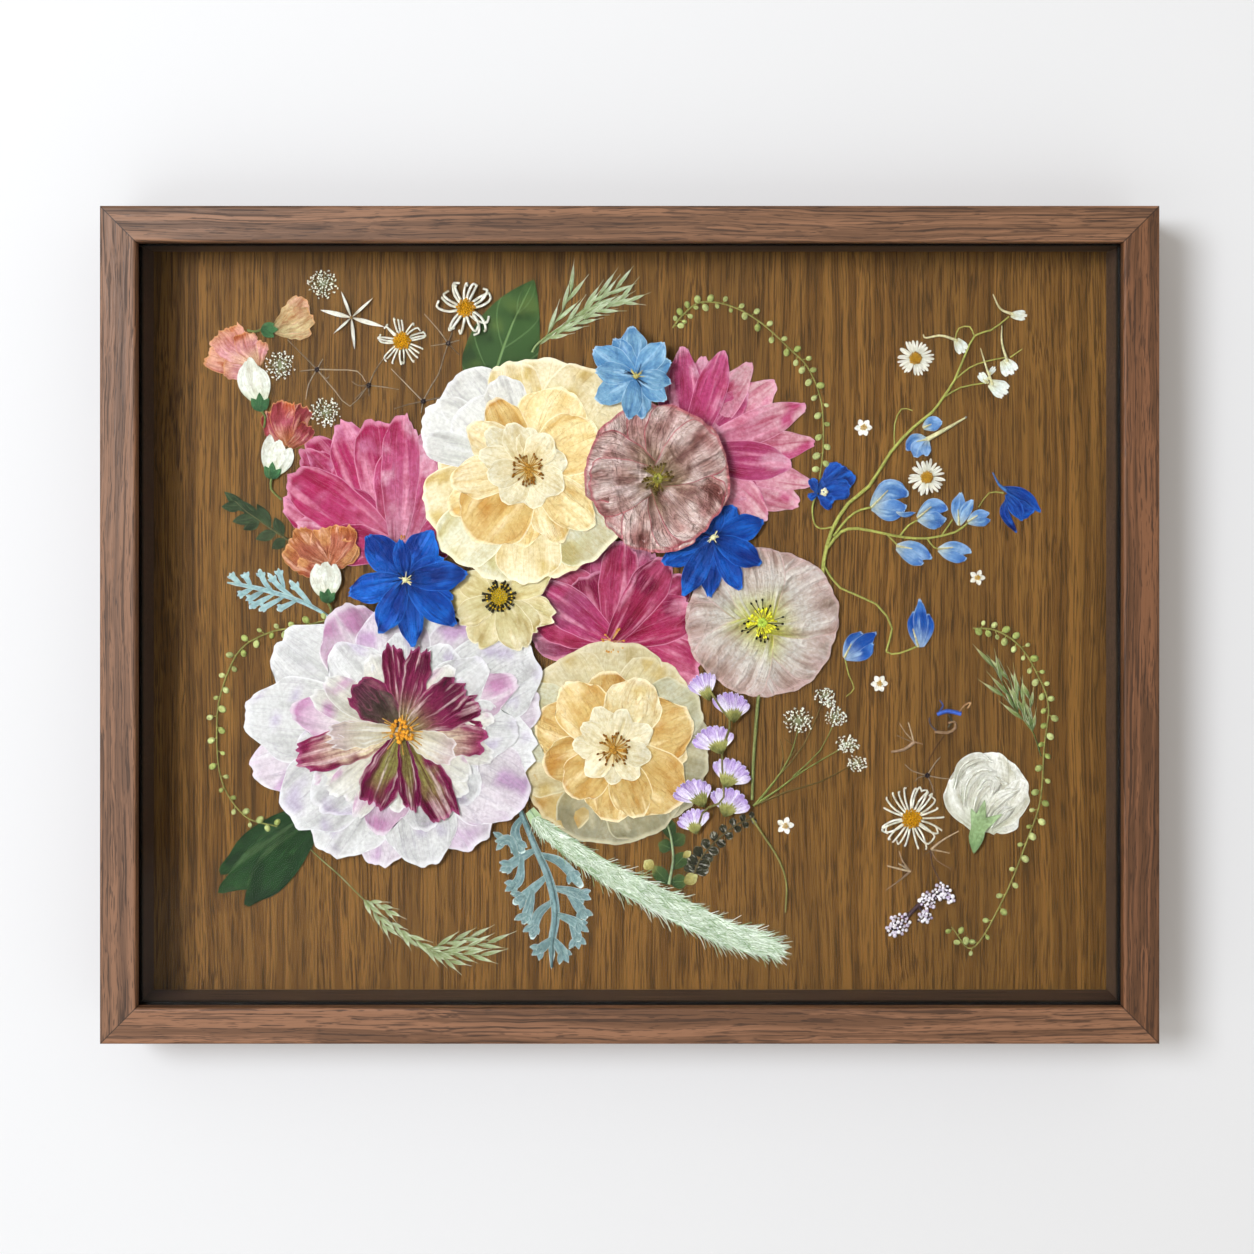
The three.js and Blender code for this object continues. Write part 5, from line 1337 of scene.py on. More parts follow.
def spikelet(bm, line, height, tints, scales=6, width=1.4, awn=5.0):
    """Overlapping scales along a line, left and right in turn, each with a bristle."""
    for number in range(scales):
        t = number / scales
        place, way = along(line, t)
        out = turned(way, 15 if number % 2 else -15)
        length = math.dist(line[0], line[-1]) * 0.42
        tip = place + out * length
        blade(bm, [place, tip], width, height + 0.06 * number, "leaf", tints, (8, 4), 0)
        if awn:
            thread(bm, [tip - out, tip + out * awn * dice.uniform(0.4, 0.8)], (0.22, 0.08),
                   height + 0.06 * number + 0.1, tints[2], 0, steps=1, sides=3)
    thread(bm, line, (0.4, 0.2), height, tints[0], 0, sides=4)


def ear(node, stalk, widths, spikes, tints, awn=4.0, scales=6):
    """A grass ear: its stalk and a spikelet along each of its spikes."""
    bm = new_plant()
    thread(bm, stalk, widths, layer(0) + 0.1, tints[0], 0, steps=12)
    for number, line in enumerate(spikes):
        spikelet(bm, line, layer(0) + 0.15 * (number % 3), tints, scales, awn=awn)
    show_plant(bm, node, [LEAF_PALE])


ear("grass_ear_top", [(-36, 99), (-33.6, 102.4), (-24, 109), (-11, 116), (-3, 117.5)], (0.9, 0.5), [
    [(-33, 101.8), (-25, 114), (-20.6, 124)], [(-27, 106.5), (-17, 115), (-8.8, 122)],
    [(-21, 110.5), (-11, 118), (-2.9, 124)], [(-14, 114), (-6, 117), (1.5, 118)],
    [(-30, 104), (-22, 108), (-14.5, 112)], [(-18, 112.5), (-9, 115), (-1, 120)]], STRAW)
ear("grass_ear_lower", [(-124, -78), (-115, -87), (-107, -94), (-98.5, -102.5), (-85, -114), (-70, -123)],
    (0.5, 0.4), [
        [(-98, -103), (-92, -105), (-87.8, -108)], [(-98, -103), (-93, -109), (-89, -114)],
        [(-90, -110), (-85, -114), (-81, -118.5)], [(-84, -114.5), (-77, -119), (-72, -123.5)],
        [(-78, -118.5), (-71, -123), (-64.5, -126.5)], [(-74, -121), (-65, -118), (-56, -116)],
        [(-71, -122.5), (-60, -120), (-49.4, -118.5)], [(-72, -122), (-62, -123), (-52, -123.5)]], WHEAT)
ear("grass_ear_right", [(151.5, -50), (149.6, -44), (148.2, -40.5), (146, -36)], (0.5, 0.4), [
    [(148.4, -41), (141.5, -32.2), (134.3, -24)], [(145.4, -37), (143, -29.2), (135.8, -14)],
    [(143, -33.6), (137, -22.4), (131.8, -12.6)], [(147.8, -39.5), (144.8, -30), (143, -22.4)],
    [(148.4, -40.5), (147.6, -32.2), (146.8, -26)]],
    shades("#4c6636", "#7c8c54", "#b8bc8a"), awn=4.5, scales=4)

FOXTAIL_AXIS = [(-37, -70), (-31, -77), (-11, -91.4), (11, -103.2), (33.2, -114.3), (52.4, -120.6)]
FOXTAIL_HAIRS = 2600


def foxtail():
    """A pale core and the hairs that lean out of it, shorter towards both ends."""
    bm = new_plant()
    base = layer(0)
    mint = shades("#a4b890", "#a4bc98", "#b4c8a6")
    blade(bm, FOXTAIL_AXIS, 9.0, base, "plume", mint, (30, 8), 0)
    thread(bm, FOXTAIL_AXIS, (0.8, 1.0), base + 0.3, mint[1], 0, steps=24, sides=6)
    for _ in range(FOXTAIL_HAIRS):
        t = 0.08 + 0.92 * dice.random() ** 0.9
        place, way = along(FOXTAIL_AXIS, t)
        side = Vector((-way.y, way.x))
        long = 0.35 + 0.65 * step(t, 0.05, 0.6)
        fullness = long * (1 - 0.4 * step(t, 0.88, 1.0))
        lean = dice.gauss(0, 0.33)
        start = place + side * dice.uniform(-4.3, 4.3) * fullness
        reach = dice.uniform(4.5, 8.0) * (0.5 + 0.5 * long)
        out = (way + side * lean).normalized()
        middle = start + out * reach * 0.5
        end = start + out * reach + side * lean * 1.2
        tone = mix(linear("#86a274"), linear("#f6faf2"), dice.random())
        height = base + dice.uniform(0.3, 1.4)
        thread(bm, [start, middle, end], (0.42, 0.14), height, tone, 0, steps=2, sides=3,
               rise=dice.uniform(-0.2, 0.3))
    show_plant(bm, "foxtail", [HAIR])


foxtail()

# %% [markdown]
# ## Vines
# Three wiry vines carry small round buds on short stalks, left and right in turn.

# %% Vines
VINES = {
    "vine_top": ([(15.8, 108), (19.6, 112.7), (26.2, 117.3), (37, 116), (48, 110), (59, 100), (65.7, 93),
                  (70.5, 80.5), (71.2, 64.6), (69.9, 52)], 38),
    "vine_left": ([(-110, 0.5), (-122, -2.4), (-132.8, -4.4), (-143.8, -11), (-150.5, -25.8),
                   (-152.3, -40.5), (-150.5, -59), (-142, -72), (-130, -76)], 32),
    "vine_right": ([(126.5, -2.9), (134.6, -3.6), (143.5, -9.2), (149.8, -19.1), (154.2, -31),
                    (152.7, -46.4), (151.2, -66.3), (146.5, -80.7), (138, -101.8), (126.5, -120.6),
                    (118.5, -113)], 46),
}


def vine(node, line, count):
    """A stalk with buds left and right in turn."""
    bm = new_plant()
    base = layer(0) + 0.1
    thread(bm, line, (0.7, 0.5), base, "#8c8a4c", 0, steps=6 * len(line))
    for number in range(count):
        t = (number + 0.6) / count
        place, way = along(line, t)
        hand = 1 if number % 2 else -1
        out = (way * dice.uniform(0.3, 0.9) + Vector((-way.y, way.x)) * hand).normalized()
        reach = dice.uniform(1.4, 2.8)
        tip = place + out * reach
        thread(bm, [place, tip], (0.35, 0.3), base, "#97944f", 0, steps=1, sides=4)
        size = dice.uniform(0.75, 1.3)
        green = mix(linear("#b9c084"), linear("#8f9c54"), dice.random())
        bead(bm, tip, size, base + 0.1, green, 0, flat=0.6, stretch=1.25,
             degrees=math.degrees(math.atan2(out.y, out.x)), detail=2)
    show_plant(bm, node, [STEM])


for node, (line, count) in VINES.items():
    vine(node, line, count)

# %% [markdown]
# ## Rosebuds
# Buds were pressed from the side: ruffled petals in pink and orange fan out of a pale base, which sits in
# a green calyx on a short stalk.

# %% Rosebuds
CORAL = shades("#e0bc98", "#dca0a8", "#dda488", "#c4744c", share=0.33)
BRICK = shades("#b87a50", "#a84f62", "#b0502c", "#8f3a44", share=0.4)
PEACH = shades("#b97a5c", "#a8624e", "#b06c34", "#c08a5a", share=0.4)
BEIGE = shades("#b3a678", "#d3c496", "#c89c80", "#c9b486", share=0.35)
BUD_WHITE = shades("#ccd0b8", "#dee0d8", "#e2e4de")
CALYX = shades("#26482c", "#34603c", "#447046")
ROSEBUDS = {
    "rosebud_1": (0, CORAL, [
        ([(-139, 94), (-146, 95), (-156, 98)], 10), ([(-139, 95), (-147, 100), (-152, 106)], 10),
        ([(-139, 96), (-144, 102), (-148, 108)], 9), ([(-138, 96), (-141, 101), (-142, 106)], 9),
        ([(-137, 94), (-137, 99), (-136, 103)], 7), ([(-138, 92), (-144, 92), (-150, 93)], 7)],
        [([(-136.5, 79.5), (-141.6, 87), (-141.4, 95.5)], 5.6),
         ([(-135.5, 79.5), (-135.2, 87), (-137.8, 94)], 5.6),
         ([(-136, 79.5), (-138.6, 87), (-140, 97)], 6.4)],
        [([(-136, 77), (-139.5, 82)], 3.4), ([(-136, 77), (-136.5, 84)], 3.2), ([(-136, 77), (-133, 82)], 3)],
        [(-136, 77.5), (-134.4, 75), (-134.9, 71)]),
    "rosebud_2": (0, BRICK, [
        ([(-127, 64), (-131, 70), (-133, 77)], 8), ([(-126, 65), (-128, 73), (-127.5, 81)], 9),
        ([(-125, 65), (-123, 73), (-120, 79)], 9), ([(-126, 64), (-121, 68), (-118.5, 72)], 7)],
        [([(-132.2, 53.5), (-133.2, 60), (-132.6, 68.5)], 5.4),
         ([(-131.5, 53.5), (-127.6, 58), (-124.8, 63.5)], 5.6),
         ([(-132, 53.5), (-130.4, 60), (-129, 66.5)], 6.6)],
        [([(-132, 52), (-134.6, 57)], 3), ([(-132, 52), (-131.7, 58.5)], 3),
         ([(-132, 52), (-128.5, 56)], 2.8)],
        [(-132, 52.5), (-132.3, 48.5), (-128.4, 44.5)]),
    "rosebud_3": (1.5, PEACH, [
        ([(-111, 20), (-119, 22), (-127, 27)], 10), ([(-111, 21), (-118, 27), (-123, 33)], 10),
        ([(-111, 21), (-112, 28), (-113, 34)], 11), ([(-110, 21), (-106, 29), (-105, 35)], 10),
        ([(-110, 20), (-105, 24), (-102, 29)], 9), ([(-112, 19), (-117, 19.5), (-122, 22)], 8)],
        [([(-112.3, 8.5), (-115, 14), (-115.2, 21)], 5.2), ([(-111.3, 8.5), (-109, 14), (-108.6, 21)], 5.2),
         ([(-111.8, 8.5), (-112, 15), (-112, 21.8)], 6.8)],
        [([(-111.3, 6.5), (-114, 11)], 3), ([(-111.3, 6.5), (-111, 12)], 3),
         ([(-111.3, 6.5), (-108.5, 10.5)], 2.8)],
        [(-111.3, 7), (-109.9, 4), (-110.8, 1.8)]),
    "rosebud_4": (0, BEIGE, [
        ([(-131, 107.5), (-125, 112), (-120, 118.5)], 9), ([(-131, 107), (-124, 109.5), (-117.5, 113)], 9),
        ([(-131, 106.8), (-124, 106.8), (-118, 107.5)], 7)],
        [],
        [([(-136, 107), (-131, 109.5)], 3.4), ([(-136, 107), (-129.5, 107.3)], 3.4),
         ([(-136, 107), (-131, 104.5)], 3.2)],
        [(-136, 107), (-138.5, 106.4), (-141, 107)]),
}


def rosebud(node, number, tints, petals, pale, calyx, stem):
    """Ruffled petals, the pale base over them, the calyx over that, and a stem."""
    bm = new_plant()
    base = layer(number)
    for order, (line, width) in enumerate(petals):
        level = stagger(base, order, 0.3)
        blade(bm, line, width, level, "ragged", tints, (16, 10), 0, 0.2)
    for order, (line, width) in enumerate(pale):
        blade(bm, line, width, base + 0.45 + 0.1 * order, "finger", BUD_WHITE, (12, 8), 3)
    for order, (line, width) in enumerate(calyx):
        blade(bm, line, width, base + 0.75 + 0.08 * order, "leaf", CALYX, (8, 6), 1)
    thread(bm, stem, (1.0, 0.8), base + 0.5, "#6f7a46", 2)
    show_plant(bm, node, [ORANGE, LEAF, STEM, DAISY])


for node, parts in ROSEBUDS.items():
    rosebud(node, *parts)

WHITE_BUD = petal_finish("white rosebud petal, creased", "#b5b09c", 0.25, 8, "#f6f5f0", 0.0, bruise_and_fold_shade="#cfcbbb",
                         folded=0.5, fold="#f8f7f3", crumple=0.7)
WHITE_BUD_PETALS = [
    ([(129, -78), (125.5, -66), (125, -50.5)], 16), ([(131, -78), (132.5, -64), (134, -48.5)], 20),
    ([(132, -78), (138, -66), (139.5, -52)], 16), ([(132.5, -77), (140, -69), (145, -58.5)], 11),
    ([(129, -77), (121.5, -68), (119, -58)], 10), ([(133, -76), (138, -75), (143, -71)], 8),
]
WHITE_BUD_FOLDS = [
    [(119.5, -62), (122, -54), (128, -50.5), (134, -52)], [(123, -68), (124, -60), (129, -55), (135, -55.5)],
    [(126, -72), (128, -64), (133, -59), (139, -60)], [(130, -75), (133, -68), (138, -64), (143.5, -62)],
    [(133, -76), (137, -71), (141.5, -68.5)], [(128, -62), (131, -58.5), (134, -60), (133, -64)],
]


def white_bud():
    """Broad petals with narrow folded ones and their bright rims over them."""
    bm = new_plant()
    base = layer(0)
    cream = shades("#c9cab8", "#dedcd3", "#e6e4de", "#c9c6b8", share=0.3)
    for order, (line, width) in enumerate(WHITE_BUD_PETALS):
        level = stagger(base, order, 0.35)
        blade(bm, line, width, level, "broad", cream, (18, 14), 0, 0.1)
    for order, line in enumerate(WHITE_BUD_FOLDS):
        level = base + 0.7 + 0.12 * order
        blade(bm, line, 4.4, level, "oval", cream, (18, 8), 0, 0.1)
        thread(bm, line, (0.5, 0.4), level + 0.25, "#f1f0ea", 0, steps=10, sides=4)
    for order, (tip, width) in enumerate((((125.5, -69), 5), ((130.5, -66), 5.5), ((137, -71), 5))):
        blade(bm, [(126.5, -85.5), (128, -77), tip], width, base + 1.6 + 0.08 * order, "leaf",
              shades("#6f8a5c", "#8fa878", "#a9bd92"), (12, 6), 1)
    show_plant(bm, "rosebud_white", [WHITE_BUD, LEAF])


white_bud()

# %% [markdown]
# ## Larkspur spray
# A branching stalk carries blue florets with a pale throat, and near its tip white buds that each trail
# a thin curved spur. Every floret is a few petals that spread from one throat.

# %% Larkspur's places and tints
LARKSPUR = shades("#c4ccc6", "#6690c4", "#3c6cb4", "#8fafd6", share=0.35)
PALE_BUD = shades("#d3d4b4", "#dfe6e4", "#f2f5f2")
COBALT = shades("#9fb4d0", "#1c54a8", "#0c4298", "#4478c0", share=0.3)
INDIGO = shades("#284f94", "#1a4494", "#2860b4", "#0e1c5a", share=0.35)
GREEN_STEM = "#a3a757"
TAN = "#cdc79c"
STALKS = [
    ([(70.8, 12), (71.5, 22.2), (74.4, 33.2), (80.4, 43.1), (88.3, 49.7), (96.2, 62.2), (104.7, 71.4),
      (111.3, 76.7), (115.3, 82), (119.6, 88.6), (123.2, 97.1), (127.1, 105), (133.1, 107), (139.7, 112)],
     (1.6, 0.6)),
    ([(71.6, 20), (77.5, 12), (90.8, 6), (96.6, -3), (94.4, -11.4), (99.5, -12), (106, -9.4)], (0.9, 0.6)),
    ([(73, 27), (77.7, 32.6), (83.7, 33.9), (94.2, 31.9), (101.4, 30.6), (110, 30.3), (119.9, 32.6),
      (124.5, 36)], (1.3, 0.7)),
    ([(75.1, 31.3), (80.4, 37.8), (85, 40.8), (90, 41.8)], (0.9, 0.8)),
    ([(99.5, 31.1), (102.8, 35.2), (107.5, 37.6)], (0.8, 0.6)), ([(94.9, 31.5), (98.8, 27.5)], (0.6, 0.6)),
    ([(114.6, 31), (118.9, 37.2)], (0.6, 0.5)), ([(109.5, 30.2), (112, 27), (115, 26)], (0.6, 0.5)),
    ([(115.3, 82), (121.9, 85.9), (131, 87.6)], (0.6, 0.5)),
    ([(119.6, 88.6), (125.2, 93.2), (131.1, 95.5), (138.5, 97)], (0.6, 0.5)),
    ([(119.9, 104), (121.2, 107.7), (125.2, 108.3), (126.8, 105)], (0.5, 0.5)),
    ([(97.5, 62.9), (97.5, 72.1), (100.1, 78), (104.1, 77.4)], (0.5, 0.35)),
    ([(140.3, 97.1), (144.6, 100.1)], (0.6, 0.4)),
    ([(79.2, -14), (80.6, -20), (82.6, -25), (79.6, -28)], (0.5, 0.4)),
]
FLORETS = [
    [([(89, 41.8), (95, 48), (102.8, 46.5)], 9), ([(89, 41.4), (95.5, 41), (102, 42)], 8),
     ([(89.6, 41.1), (94.9, 38.9), (100.8, 39.6)], 5), ([(98, 40), (101, 39), (105, 39.8)], 2.2)],
    [([(106, 37.8), (111, 42), (117.2, 41)], 7), ([(106, 37.4), (111, 37), (116.5, 37.2)], 7.5),
     ([(107, 36.8), (111, 35.5), (114.5, 35)], 4)],
    [([(121.2, 35.2), (120.8, 41), (122, 47.2)], 6), ([(121.4, 35.2), (123.4, 40), (126.2, 44.6)], 5)],
    [([(124.5, 36.5), (128, 38.8), (132.4, 39.6)], 4.5), ([(124.5, 36), (129, 36.3), (132.8, 37)], 4)],
    [([(98.2, 27.5), (104, 26.5), (111.2, 23)], 7), ([(98.2, 26.7), (103.5, 23.5), (108, 20.8)], 6)],
    [([(113.6, 26.4), (119, 27), (125.8, 25.4)], 5.5), ([(113.6, 26), (118.5, 23.8), (124, 22.6)], 5)],
    [([(109.4, 66.8), (105.5, 66), (101.8, 63)], 7), ([(109.4, 66.8), (106.5, 64), (105, 60)], 6.5),
     ([(109.6, 66.6), (109, 63.5), (109.4, 60.6)], 4.5)],
    [([(108, 71), (111, 72.4), (115, 73.2)], 6.5)],
]
LOW_FLORETS = [
    [([(79, -13.6), (81.5, -8.5), (85.6, -4.4)], 6), ([(79, -14), (85, -9), (90.6, -4.4)], 6.5),
     ([(79.6, -14.2), (86, -12.5), (89.6, -8.4)], 5)],
    [([(106.2, -9.6), (104.2, -3), (104.4, 3.2)], 4.6), ([(107.8, -9.6), (110, -3), (109.8, 2.6)], 4.6),
     ([(107, -9.8), (107, -2), (106.8, 7.8)], 6)],
]
SPURRED = [
    ([(140.3, 112.6), (146.4, 112.4)], 4.2, [(140.8, 112.9), (136.4, 114.9), (133.7, 120.2)]),
    ([(120.2, 103.6), (123.4, 98.6)], 5.2, [(120.6, 103.1), (114.6, 105), (109, 104.1), (108, 105.4)]),
    ([(137.6, 96), (141.2, 90.6)], 7.0, [(139, 95.5), (137, 102.4), (137, 108.7)]),
    ([(132.6, 87.6), (139.4, 83.6)], 7.0, [(133.5, 87), (131.1, 93.8), (129.1, 100.4)]),
    ([(131.6, 87.6), (128.6, 91.4)], 3.4, [(132, 87.6), (130, 89)]),
    ([(132.2, 90.4), (134.6, 93.6)], 2.2, [(131.9, 89), (133, 91.5)]),
]
print("florets:", len(FLORETS) + len(LOW_FLORETS), "and spurred buds:", len(SPURRED))

# %% [markdown]
# The stalks come first, then each floret's petals over them. The loose dark floret and the opening
# delphinium bud are the same petals in indigo.

# %% Larkspur
def larkspur_spray():
    """The spray with its florets and buds."""
    bm = new_plant()
    base = layer(0)
    for line, widths in STALKS:
        thread(bm, line, widths, base + 0.15, GREEN_STEM, 1)
    for petals in FLORETS + LOW_FLORETS:
        tints = LARKSPUR if petals in FLORETS else COBALT
        for order, (line, width) in enumerate(petals):
            blade(bm, line, 0.85 * width, base + 0.3 + 0.18 * order, "spoon", tints, (12, 10), 0, 0.1)
        thread(bm, [petals[0][0][0], petals[0][0][1]], (1.0, 0.4), base + 0.75, TAN, 1, sides=4)
    thread(bm, [(109.6, 66.8), (117.9, 71.4), (123.5, 74.7)], (1.9, 0.6), base + 0.5, TAN, 1, sides=6)
    bead(bm, (123.7, 74.9), 0.5, base + 0.6, "#8c8f8c", 1)
    for line, width, spur in SPURRED:
        start, way = Vector(line[0]), Vector(line[1]) - Vector(line[0])
        side = Vector((-way.y, way.x)).normalized()
        for number in (-1, 0, 1):
            tip = start + way * (1 - 0.1 * abs(number)) + side * number * width * 0.32
            blade(bm, [start + side * number * width * 0.14, tip], width * 0.42,
                  base + 0.35 + 0.12 * (number == 0), "notched", PALE_BUD, (10, 6), 2)
        thread(bm, spur, (1.2, 0.35), base + 0.6, TAN, 1, steps=8)
    show_plant(bm, "larkspur_spray", [SKY, STEM, DAISY])


def dark_florets():
    """A loose larkspur floret, and a delphinium bud that has begun to open."""
    bm = new_plant()
    base = layer(0)
    for order, (line, width) in enumerate([
            ([(137.2, 49), (145, 46), (151.4, 40)], 6), ([(138.5, 45), (144, 41), (149, 40.4)], 8.5),
            ([(138.6, 46.5), (142, 42), (144.5, 36.8)], 6),
            ([(138.8, 44.5), (138, 39.5), (142.4, 32.4)], 4.2)]):
        blade(bm, line, 0.8 * width, base + 0.15 * order, "oval", INDIGO, (14, 10), 0)
    thread(bm, [(138.5, 48), (136, 50), (133.6, 54.6)], (1.6, 0.4), base + 0.4, "#3f6fb4", 1)
    thread(bm, [(137.5, 47), (132.4, 47.1), (128.5, 41.8)], (0.6, 0.35), base + 0.2, GREEN_STEM, 1)
    show_plant(bm, "larkspur_floret", [BLUE, STEM])

    bm = new_plant()
    base = layer(1)
    for order, (line, width) in enumerate([
            ([(69.5, 47.5), (74, 53), (77.6, 57.2)], 7), ([(69.5, 47.5), (76, 51.5), (82, 53.8)], 8),
            ([(69.5, 47), (75.5, 48), (81, 48.6)], 7.5), ([(69.5, 46.6), (72.5, 44), (74.8, 42.8)], 5.5),
            ([(69, 47), (67.6, 50), (67.4, 52.4)], 3.6), ([(69, 46.6), (67, 45.8), (65.8, 45)], 3)]):
        blade(bm, line, width, base + 0.12 * order, "ragged", INDIGO, (14, 10), 0)
    for number in range(5):
        place = around((71.4, 47.4), number * 72, 0.9)
        bead(bm, place, dice.uniform(0.5, 0.9), base + 0.9, "#d9d6b4", 1)
    thread(bm, [(69, 47), (67.2, 41.8), (67.9, 35.9), (70.5, 33.9), (75.1, 34.6)], (0.7, 0.6), base - 0.4,
           GREEN_STEM, 1, steps=12)
    show_plant(bm, "delphinium_bud", [BLUE, STEM])


larkspur_spray()
dark_florets()

# %% [markdown]
# ## Statice
# The papery fans are pleated: each is a ring of narrow lilac wedges with white folds between them, and it
# opens out of a ribbed olive calyx.

# %% Statice
PAPER_LILAC = shades("#efe9f4", "#c3abd9", "#a78ccb")
PAPER_PALE = shades("#f4f1f7", "#e2d8ec", "#bfa6d6")
OLIVE = shades("#4c4a22", "#8f8a4c", "#b9b272")
FANS = [
    ((29.4, -29.5), (20.9, -24.4), (31.6, -19.6)), ((38.2, -37.5), (29.6, -29), (44.4, -31.2)),
    ((33.6, -48.9), (22.2, -45.2), (38.4, -42)), ((34.6, -61.2), (30.2, -52), (44.8, -58.6)),
    ((27.4, -68.5), (15, -64.6), (29.8, -60.4)), ((34.6, -72), (29.2, -63.2), (44.4, -69.2)),
    ((24.4, -78.4), (17, -74.6), (29.6, -70.8)),
]


def fan(bm, base, left, right, height):
    """One pleated fan between two directions, over its calyx."""
    base = Vector(base)
    sides = [Vector(left) - base, Vector(right) - base]
    start, end = (math.degrees(math.atan2(side.y, side.x)) % 360 for side in sides)
    reach = [side.length for side in sides]
    for number in range(8):
        share = (number + 0.5) / 8
        degrees = start + (end - start) * share
        length = (reach[0] + (reach[1] - reach[0]) * share) * (1 + 0.1 * math.sin(math.pi * share))
        width = length * math.radians(abs(end - start)) / 8 * 1.25
        tints = PAPER_PALE if number % 3 == 1 else PAPER_LILAC
        petal(bm, base, (degrees, length, width), height + 0.14 * (number % 2), "notched", tints, (10, 4),
              start=length * 0.38)
    for number in range(9):
        degrees = start + (end - start) * (0.1 + 0.8 * number / 8)
        length = 0.5 * sum(reach) * dice.uniform(0.5, 0.62)
        width = length * math.radians(abs(end - start)) / 9 * 1.1
        petal(bm, base, (degrees, length, width), height + 0.3 + 0.1 * (number % 2), "leaf", OLIVE, (8, 4), 1)


def statice():
    """A stalk with a fan at the end of each branch."""
    bm = new_plant()
    base = layer(2.5)
    stalk = [(30, -26.5), (34, -33), (36.9, -37.6), (33.9, -48.6), (34.2, -58), (33.9, -66), (27, -70),
             (24.7, -78.2)]
    thread(bm, stalk, (1.0, 0.9), base, "#6f6a3c", 2, steps=16)
    for number, lines in enumerate(FANS):
        fan(bm, *lines, base + 0.1 * (number % 2))
    show_plant(bm, "statice", [LILAC, LEAF, STEM])


statice()

# %% [markdown]
# ## Sprigs and sprays
# Small foliage is built from a stalk and its leaflets. The white sprays are the smallest pieces: umbels
# of blossoms a millimetre wide, so each blossom is only three tiny beads, and every other one has a thread.

# %% Sprigs and sprays
FERN_LEAF = petal_finish("dried fern, brown green", "#1d1c14", 0.6, 6, "#8a8668", 0.0, rough=0.6,
                         bruise_and_fold_shade="#8c866a")
BLOSSOM = plain_finish("tiny dried blossom, chalky", 0.75, 0.5, "#dcd8c4", 0.1)
FERN = shades("#24241a", "#343526", "#403e2c")
SPRIG = shades("#263c22", "#334a26", "#4a5c30", "#7c783f", share=0.35)
LEAFLETS = [
    [(15.3, -80.5), (13.6, -72.6)], [(15.2, -84), (10.4, -82.2)], [(15.4, -82.6), (20.2, -79)],
    [(15.6, -91.4), (21.4, -85.4)], [(14.4, -97), (8.2, -90.4)], [(14.8, -96.4), (21.4, -96)],
]
OLIVE_BUDS = [([(8.4, -91.6), (5.4, -88.4)], 4.4), ([(20, -96.6), (24.8, -93.8)], 4.6),
              ([(19.6, -87.2), (22.4, -85)], 2.6)]


def sprigs():
    """A dried fern frond, and a leafy sprig with two olive buds."""
    bm = new_plant()
    base = layer(0)
    stalk = [(46, -72.5), (38.7, -75.6), (31.4, -81.6), (25.8, -88), (23.6, -94)]
    thread(bm, stalk, (0.6, 0.8), base + 0.1, "#5a5236", 1)
    for number in range(9):
        place, way = along(stalk, 0.04 + number * 0.112)
        size = 2.6 + 0.32 * number
        for hand in (-1, 1):
            side = Vector((-way.y, way.x)) * hand
            tip = place + (side * 0.9 - way * 0.35) * size
            blade(bm, [place, tip], size * 0.85, base + 0.12 * (number % 2), "broad", FERN, (8, 6), 0)
    show_plant(bm, "fern", [FERN_LEAF, STEM])

    bm = new_plant()
    thread(bm, [(14.4, -97), (15.9, -88.5), (15.1, -80), (13.9, -75.5)], (1.2, 0.7), base + 0.3,
           "#8fa07a", 1, steps=10)
    for order, line in enumerate(LEAFLETS):
        blade(bm, line, 5.4, base + 0.1 * (order % 3), "oval", SPRIG, (12, 10), 0)
    for line, width in OLIVE_BUDS:
        blade(bm, line, width, base + 0.5, "oval", shades("#8a7a40", "#b5a766", "#cfc68c"), (8, 6), 2)
    show_plant(bm, "leafy_sprig", [BROADLEAF, STEM, LEAF])


sprigs()


# %% [markdown]
# An umbel spreads its blossoms from one point. Three tiny beads make one blossom.

# %% Umbels and spikes
def umbel(bm, centre, reach, count, tone="#f1f1e8", stalk="#8f9470", squash=1.0, height=0.3):
    """Tiny blossoms on threads that spread from one point."""
    for number in range(count):
        spot = spiral(centre, reach, number, count)
        spot = (spot[0] + dice.uniform(-0.5, 0.5), centre[1] + (spot[1] - centre[1]) * squash)
        if number % 2 == 0:
            thread(bm, [centre, spot], (0.3, 0.25), height, stalk, 1, steps=1, sides=3)
        size = dice.uniform(0.26, 0.66)
        for _ in range(3):
            part = around(spot, dice.uniform(0, 360), 0.7 * size)
            bead(bm, part, 0.6 * size, height + dice.uniform(0.2, 0.8), tone, 0, flat=0.7)


def lavender():
    """Short dark stalks crowded with lilac florets, and dark beads painted as the shade in the holes between
    them.
    """
    bm = new_plant()
    base = layer(0)
    thread(bm, [(98, -113), (102, -109.5), (106.2, -105), (112.5, -100.5), (117, -100.3)], (1.4, 1.6),
           base + 0.1, "#4a3840", 1)
    thread(bm, [(106.2, -105), (109.5, -110)], (1.4, 1.0), base + 0.1, "#4a3840", 1)
    for spot, reach, count in (((99.4, -111.6), 4.0, 26), ((96.6, -114), 2.4, 12), ((109.6, -103.2), 3.2, 20),
                               ((114.6, -99.8), 3.4, 22), ((118.2, -102.4), 1.6, 8),
                               ((108.6, -109), 2.6, 14)):
        for number in range(count):
            place = spiral(spot, reach, number, count)
            tone = mix(linear("#f1ecf4"), linear("#b9a7c6"), dice.random() ** 2)
            bead(bm, place, dice.uniform(0.5, 0.9), base + dice.uniform(0.5, 1.0), tone, 0, flat=0.7)
            # painted shade: a dark bead in a hole between the florets
            if number % 4 == 0:
                painted_shade_spot = around(place, dice.uniform(0, 360), 0.6)
                bead(bm, painted_shade_spot, 0.42, base + 1.3, "#35252c", 1)
    show_plant(bm, "lavender", [BLOSSOM, STEM])


